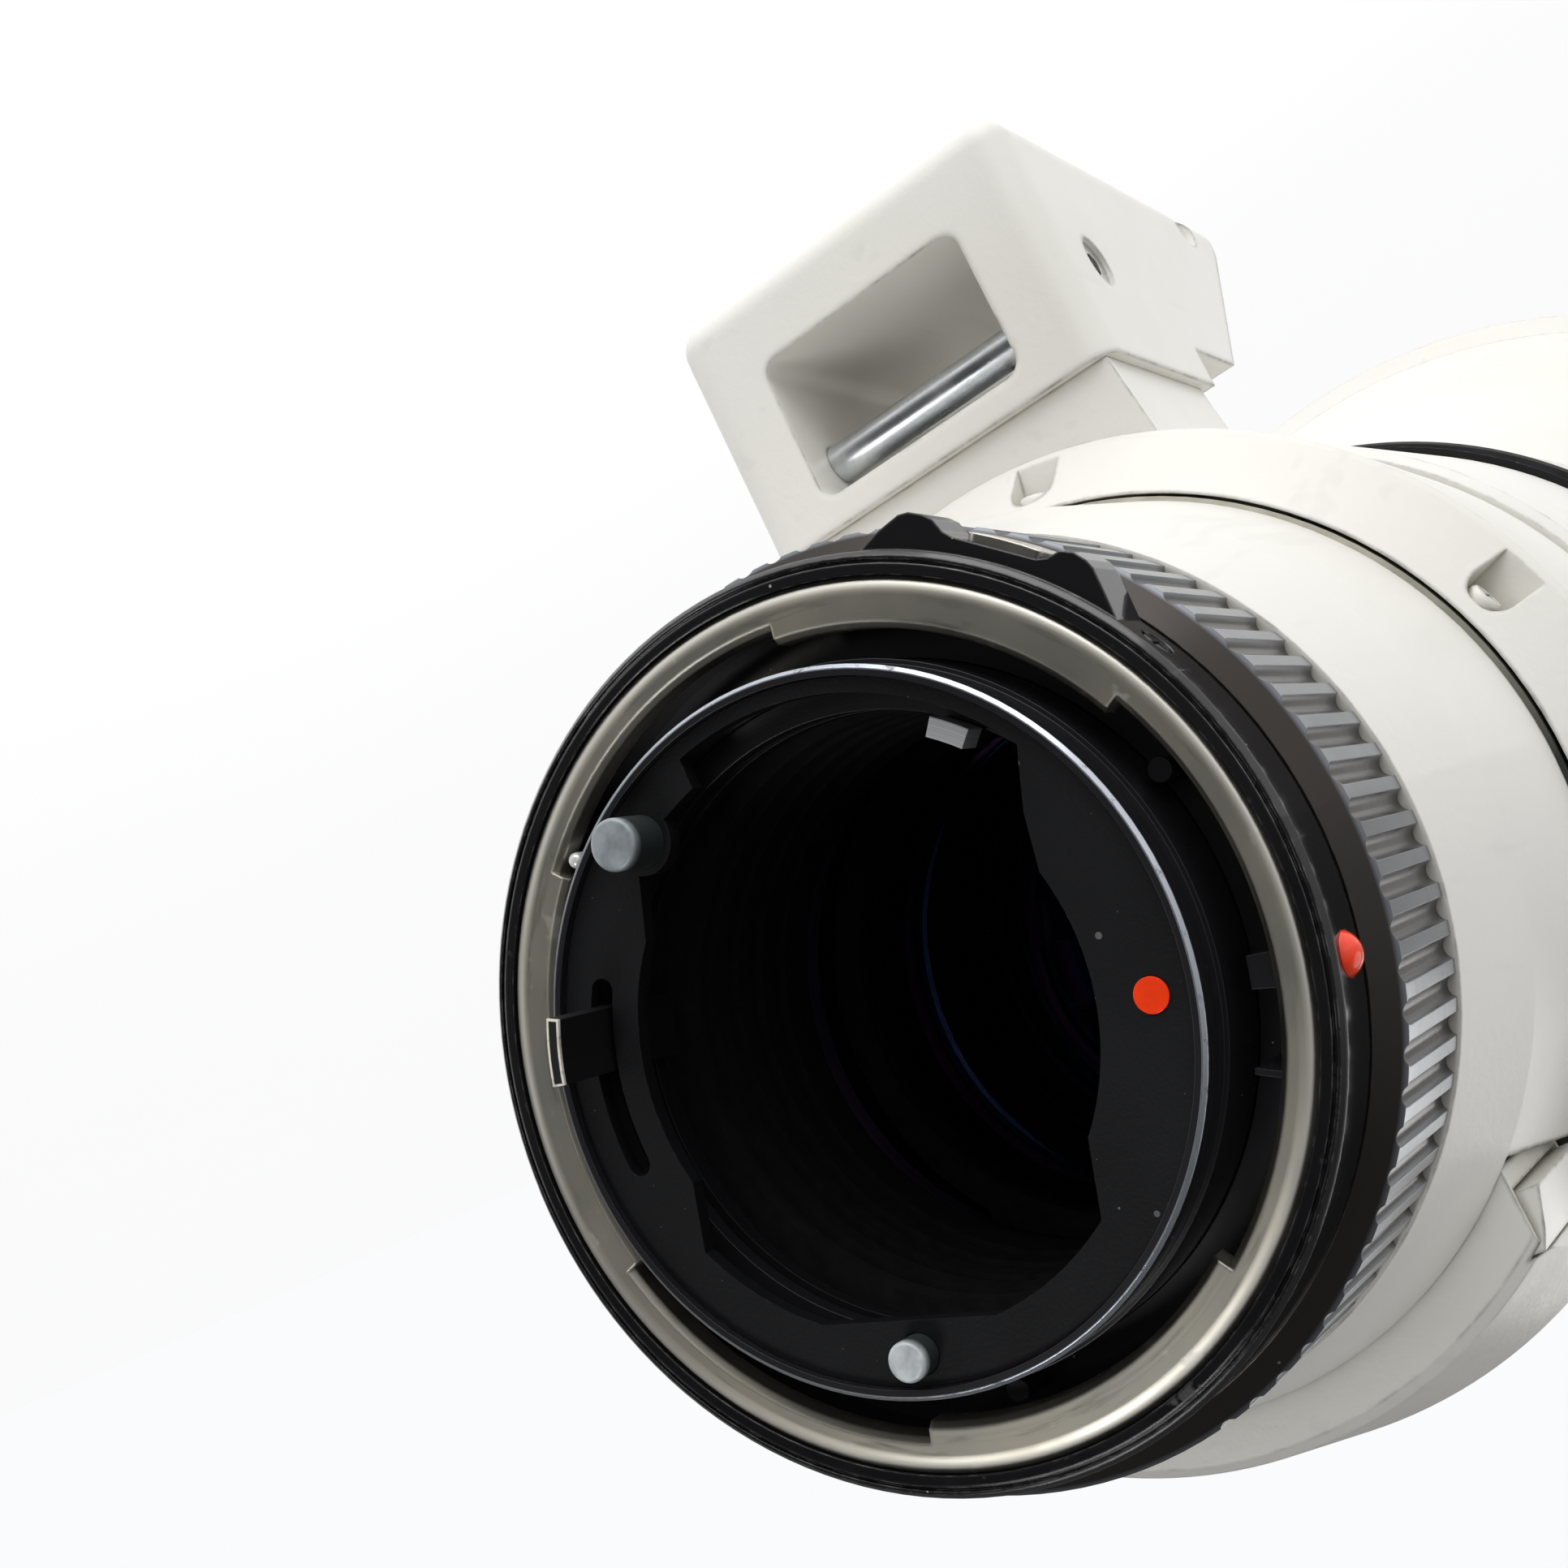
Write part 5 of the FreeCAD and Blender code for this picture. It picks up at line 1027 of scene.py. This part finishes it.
class LENS_OT_focus_grip(bpy.types.Operator):
    """Make the rubber grip of the focusing ring from rows of studs"""
    bl_idname = "lens.focus_grip"
    bl_label = "Make the Focusing Grip"

    def execute(self, context):
        sizes = context.scene.lens_sizes
        start, end, outer = node_round("focus_grip")
        height = 0.75 * MM
        bore = outer - 2.07 * MM
        base = outer - height
        border = 1.1 * MM
        skirt = 0.3 * MM
        profile = [
            (start, bore), (start, outer - skirt), (start + skirt, outer), (start + border - skirt, outer),
            (start + border, base), (end - border, base), (end - border + skirt, outer),
            (end - skirt, outer), (end, outer - skirt), (end, bore)]
        new_piece("focus_grip_sleeve", spun_mesh(profile, 180), "focus_ring", "rubber", "grip_rubber",
                  "focus_grip")
        pitch = (end - start - 2 * border) / sizes.rib_rows
        width = 2 * math.pi * outer / sizes.rib_columns
        stud = rubber_stud(pitch * 0.74, width * 0.72, height, start + border + pitch / 2, base - 0.05 * MM)
        studs = repeated(stud, "grip_rubber", sizes.rib_columns, rows=sizes.rib_rows, row_step=pitch)
        new_piece("focus_grip_studs", studs, "focus_ring", "rubber", "grip_rubber")
        return {"FINISHED"}


class LENS_OT_stage(bpy.types.Operator):
    """Set up the pale floor, the soft light and the camera"""
    bl_idname = "lens.stage"
    bl_label = "Set Up the Studio"

    def execute(self, context):
        stage = context.scene.lens_stage
        make_floor(stage)
        make_room(stage)
        make_lamps()
        make_camera()
        context.scene.view_settings.view_transform = "Standard"
        context.scene.view_settings.look = "None"
        return {"FINISHED"}


# Studio

VIEW_POINT = Vector((-0.1207, 0.0672, 0.0096))
VIEW_RIGHT = Vector((0.50370, 0.75835, 0.41375))
VIEW_UP = Vector((0.04833, 0.45347, -0.88996))
VIEW_BACK = VIEW_RIGHT.cross(VIEW_UP)
BEHIND_MOUNT = Vector((-0.96, -0.26, -0.11))
FOCAL_PIXELS = 2549.8
PHOTO_PIXELS = 1932
SENSOR_WIDTH = 36.0
FLOOR_GLOW = 0.78
SEEN_ROOM = 0.975


def make_camera():
    """Camera at the photograph's place and viewing angle."""
    data = bpy.data.cameras.new("photo_camera")
    data.sensor_width = SENSOR_WIDTH
    data.lens = FOCAL_PIXELS / PHOTO_PIXELS * SENSOR_WIDTH
    data.clip_start = 0.005
    data.clip_end = 50
    camera = add_object("photo_camera", data)
    turn = Matrix((VIEW_RIGHT, VIEW_UP, VIEW_BACK)).transposed().to_4x4()
    camera.matrix_world = Matrix.Translation(VIEW_POINT) @ turn
    bpy.context.scene.camera = camera


def floor_paint(tree, shader, stage):
    """Pale paint that the polished mount reflects as dimly as the room behind it."""
    way = vectors(tree, "NORMALIZE", object_point(tree), None).outputs[0]
    mirrored = tree.nodes.new("ShaderNodeLightPath").outputs["Is Glossy Ray"]
    dim = times(tree, minus(tree, 1.0, behind_mount(tree, way, stage)), mirrored)
    colour = blend(tree, patches(tree, 1.4, 2.0), (0.93, 0.93, 0.935), (0.95, 0.95, 0.955))
    surface(tree, shader, blend(tree, dim, colour, (0, 0, 0)), 0.9)
    glow = stretch(tree, dim, 0.0, 1.0, FLOOR_GLOW, 0.0)
    wire(tree, shader, {"Emission Color": (1, 1, 1, 1), "Emission Strength": glow})


def make_floor(stage):
    """Round pale floor below the lens."""
    build = bmesh.new()
    bmesh.ops.create_circle(build, cap_ends=True, segments=96, radius=stage.floor_size)
    mesh = settled(build, "pale_floor", (0, 0, -stage.floor_drop), smooth=False, outwards=False)
    mesh.materials.append(new_material("pale_floor", floor_paint, stage))
    add_object("pale_floor", mesh)


def along_way(tree, way, target):
    """How far a direction points towards a target, from -1 to 1."""
    return vectors(tree, "DOT_PRODUCT", way, target.normalized()).outputs["Value"]


def behind_mount(tree, way, stage):
    """Share of the light that comes from a direction: it is small straight behind the mount."""
    return stretch(tree, along_way(tree, way, BEHIND_MOUNT), 0.50, 0.90, 1.0, stage.sky_back)


def make_room(stage):
    """White room that is brighter towards the window."""
    world = bpy.data.worlds.new("white_room")
    bpy.context.scene.world = world
    world.use_nodes = True
    tree = world.node_tree
    way = tree.nodes.new("ShaderNodeTexCoord").outputs["Generated"]
    window = VIEW_UP * 0.95 - VIEW_RIGHT * 0.3
    light = stretch(tree, along_way(tree, way, window), -0.55, 0.75, stage.sky_low, stage.sky_high)
    light = times(tree, light, behind_mount(tree, way, stage))
    seen = tree.nodes.new("ShaderNodeLightPath").outputs["Is Camera Ray"]
    strength = plus(tree, times(tree, light, minus(tree, 1.0, seen)), times(tree, seen, SEEN_ROOM))
    wire(tree, tree.nodes["Background"], {"Color": (0.985, 0.99, 1.0, 1), "Strength": strength})


def make_lamps():
    """Soft light from the top of the picture and weaker ones from its right, its front and below."""
    aims = (
        ("window_light", VIEW_UP * 0.85 - VIEW_RIGHT * 0.25 + VIEW_BACK * 0.25, 0.60, 0.60, 1.5),
        ("side_light", VIEW_RIGHT * 0.95 - VIEW_UP * 0.2 + VIEW_BACK * 0.1, 0.9, 0.8, 1.8),
        ("front_light", Vector((0.92, 0.08, 0.38)), 1.2, 0.6, 1.8),
        ("low_light", Vector((-0.80, -0.40, 0.45)), 1.2, 0.45, 3.0),
    )
    middle = Vector((0.05, 0, 0))
    for name, way, distance, size, power in aims:
        data = bpy.data.lights.new(name, "AREA")
        data.shape = "DISK"
        data.size = size
        data.energy = power
        lamp = add_object(name, data)
        lamp.location = middle + way.normalized() * distance
        lamp.rotation_euler = way.normalized().to_track_quat("Z", "Y").to_euler()


class LENS_PT_panel(bpy.types.Panel):
    """Lists the steps that finish the lens"""
    bl_label = "Telephoto Lens"
    bl_idname = "LENS_PT_panel"
    bl_space_type = "VIEW_3D"
    bl_region_type = "UI"
    bl_category = "Lens"

    def draw(self, context):
        layout = self.layout
        for group in (context.scene.lens_paint, context.scene.lens_sizes, context.scene.lens_stage):
            for key in group.__annotations__:
                layout.prop(group, key)
        for operator in OPERATORS:
            layout.operator(operator.bl_idname)


GROUPS = {"lens_paint": LensPaint, "lens_sizes": LensSizes, "lens_stage": LensStage}
OPERATORS = (LENS_OT_stage, LENS_OT_shells, LENS_OT_mount, LENS_OT_inside, LENS_OT_screws,
             LENS_OT_focus_grip, LENS_OT_scales)


def register():
    """Makes the settings, the operators and the panel known to the program."""
    for name, group in GROUPS.items():
        bpy.utils.register_class(group)
        setattr(bpy.types.Scene, name, bpy.props.PointerProperty(type=group))
    for item in (*OPERATORS, LENS_PT_panel):
        bpy.utils.register_class(item)


def unregister():
    """Takes them away again."""
    for item in (LENS_PT_panel, *reversed(OPERATORS)):
        bpy.utils.unregister_class(item)
    for name, group in GROUPS.items():
        delattr(bpy.types.Scene, name)
        bpy.utils.unregister_class(group)


def main():
    """Runs every step."""
    register()
    for operator in OPERATORS:
        group, name = operator.bl_idname.split(".")
        getattr(getattr(bpy.ops, group), name)()


if __name__ == "__main__":
    main()
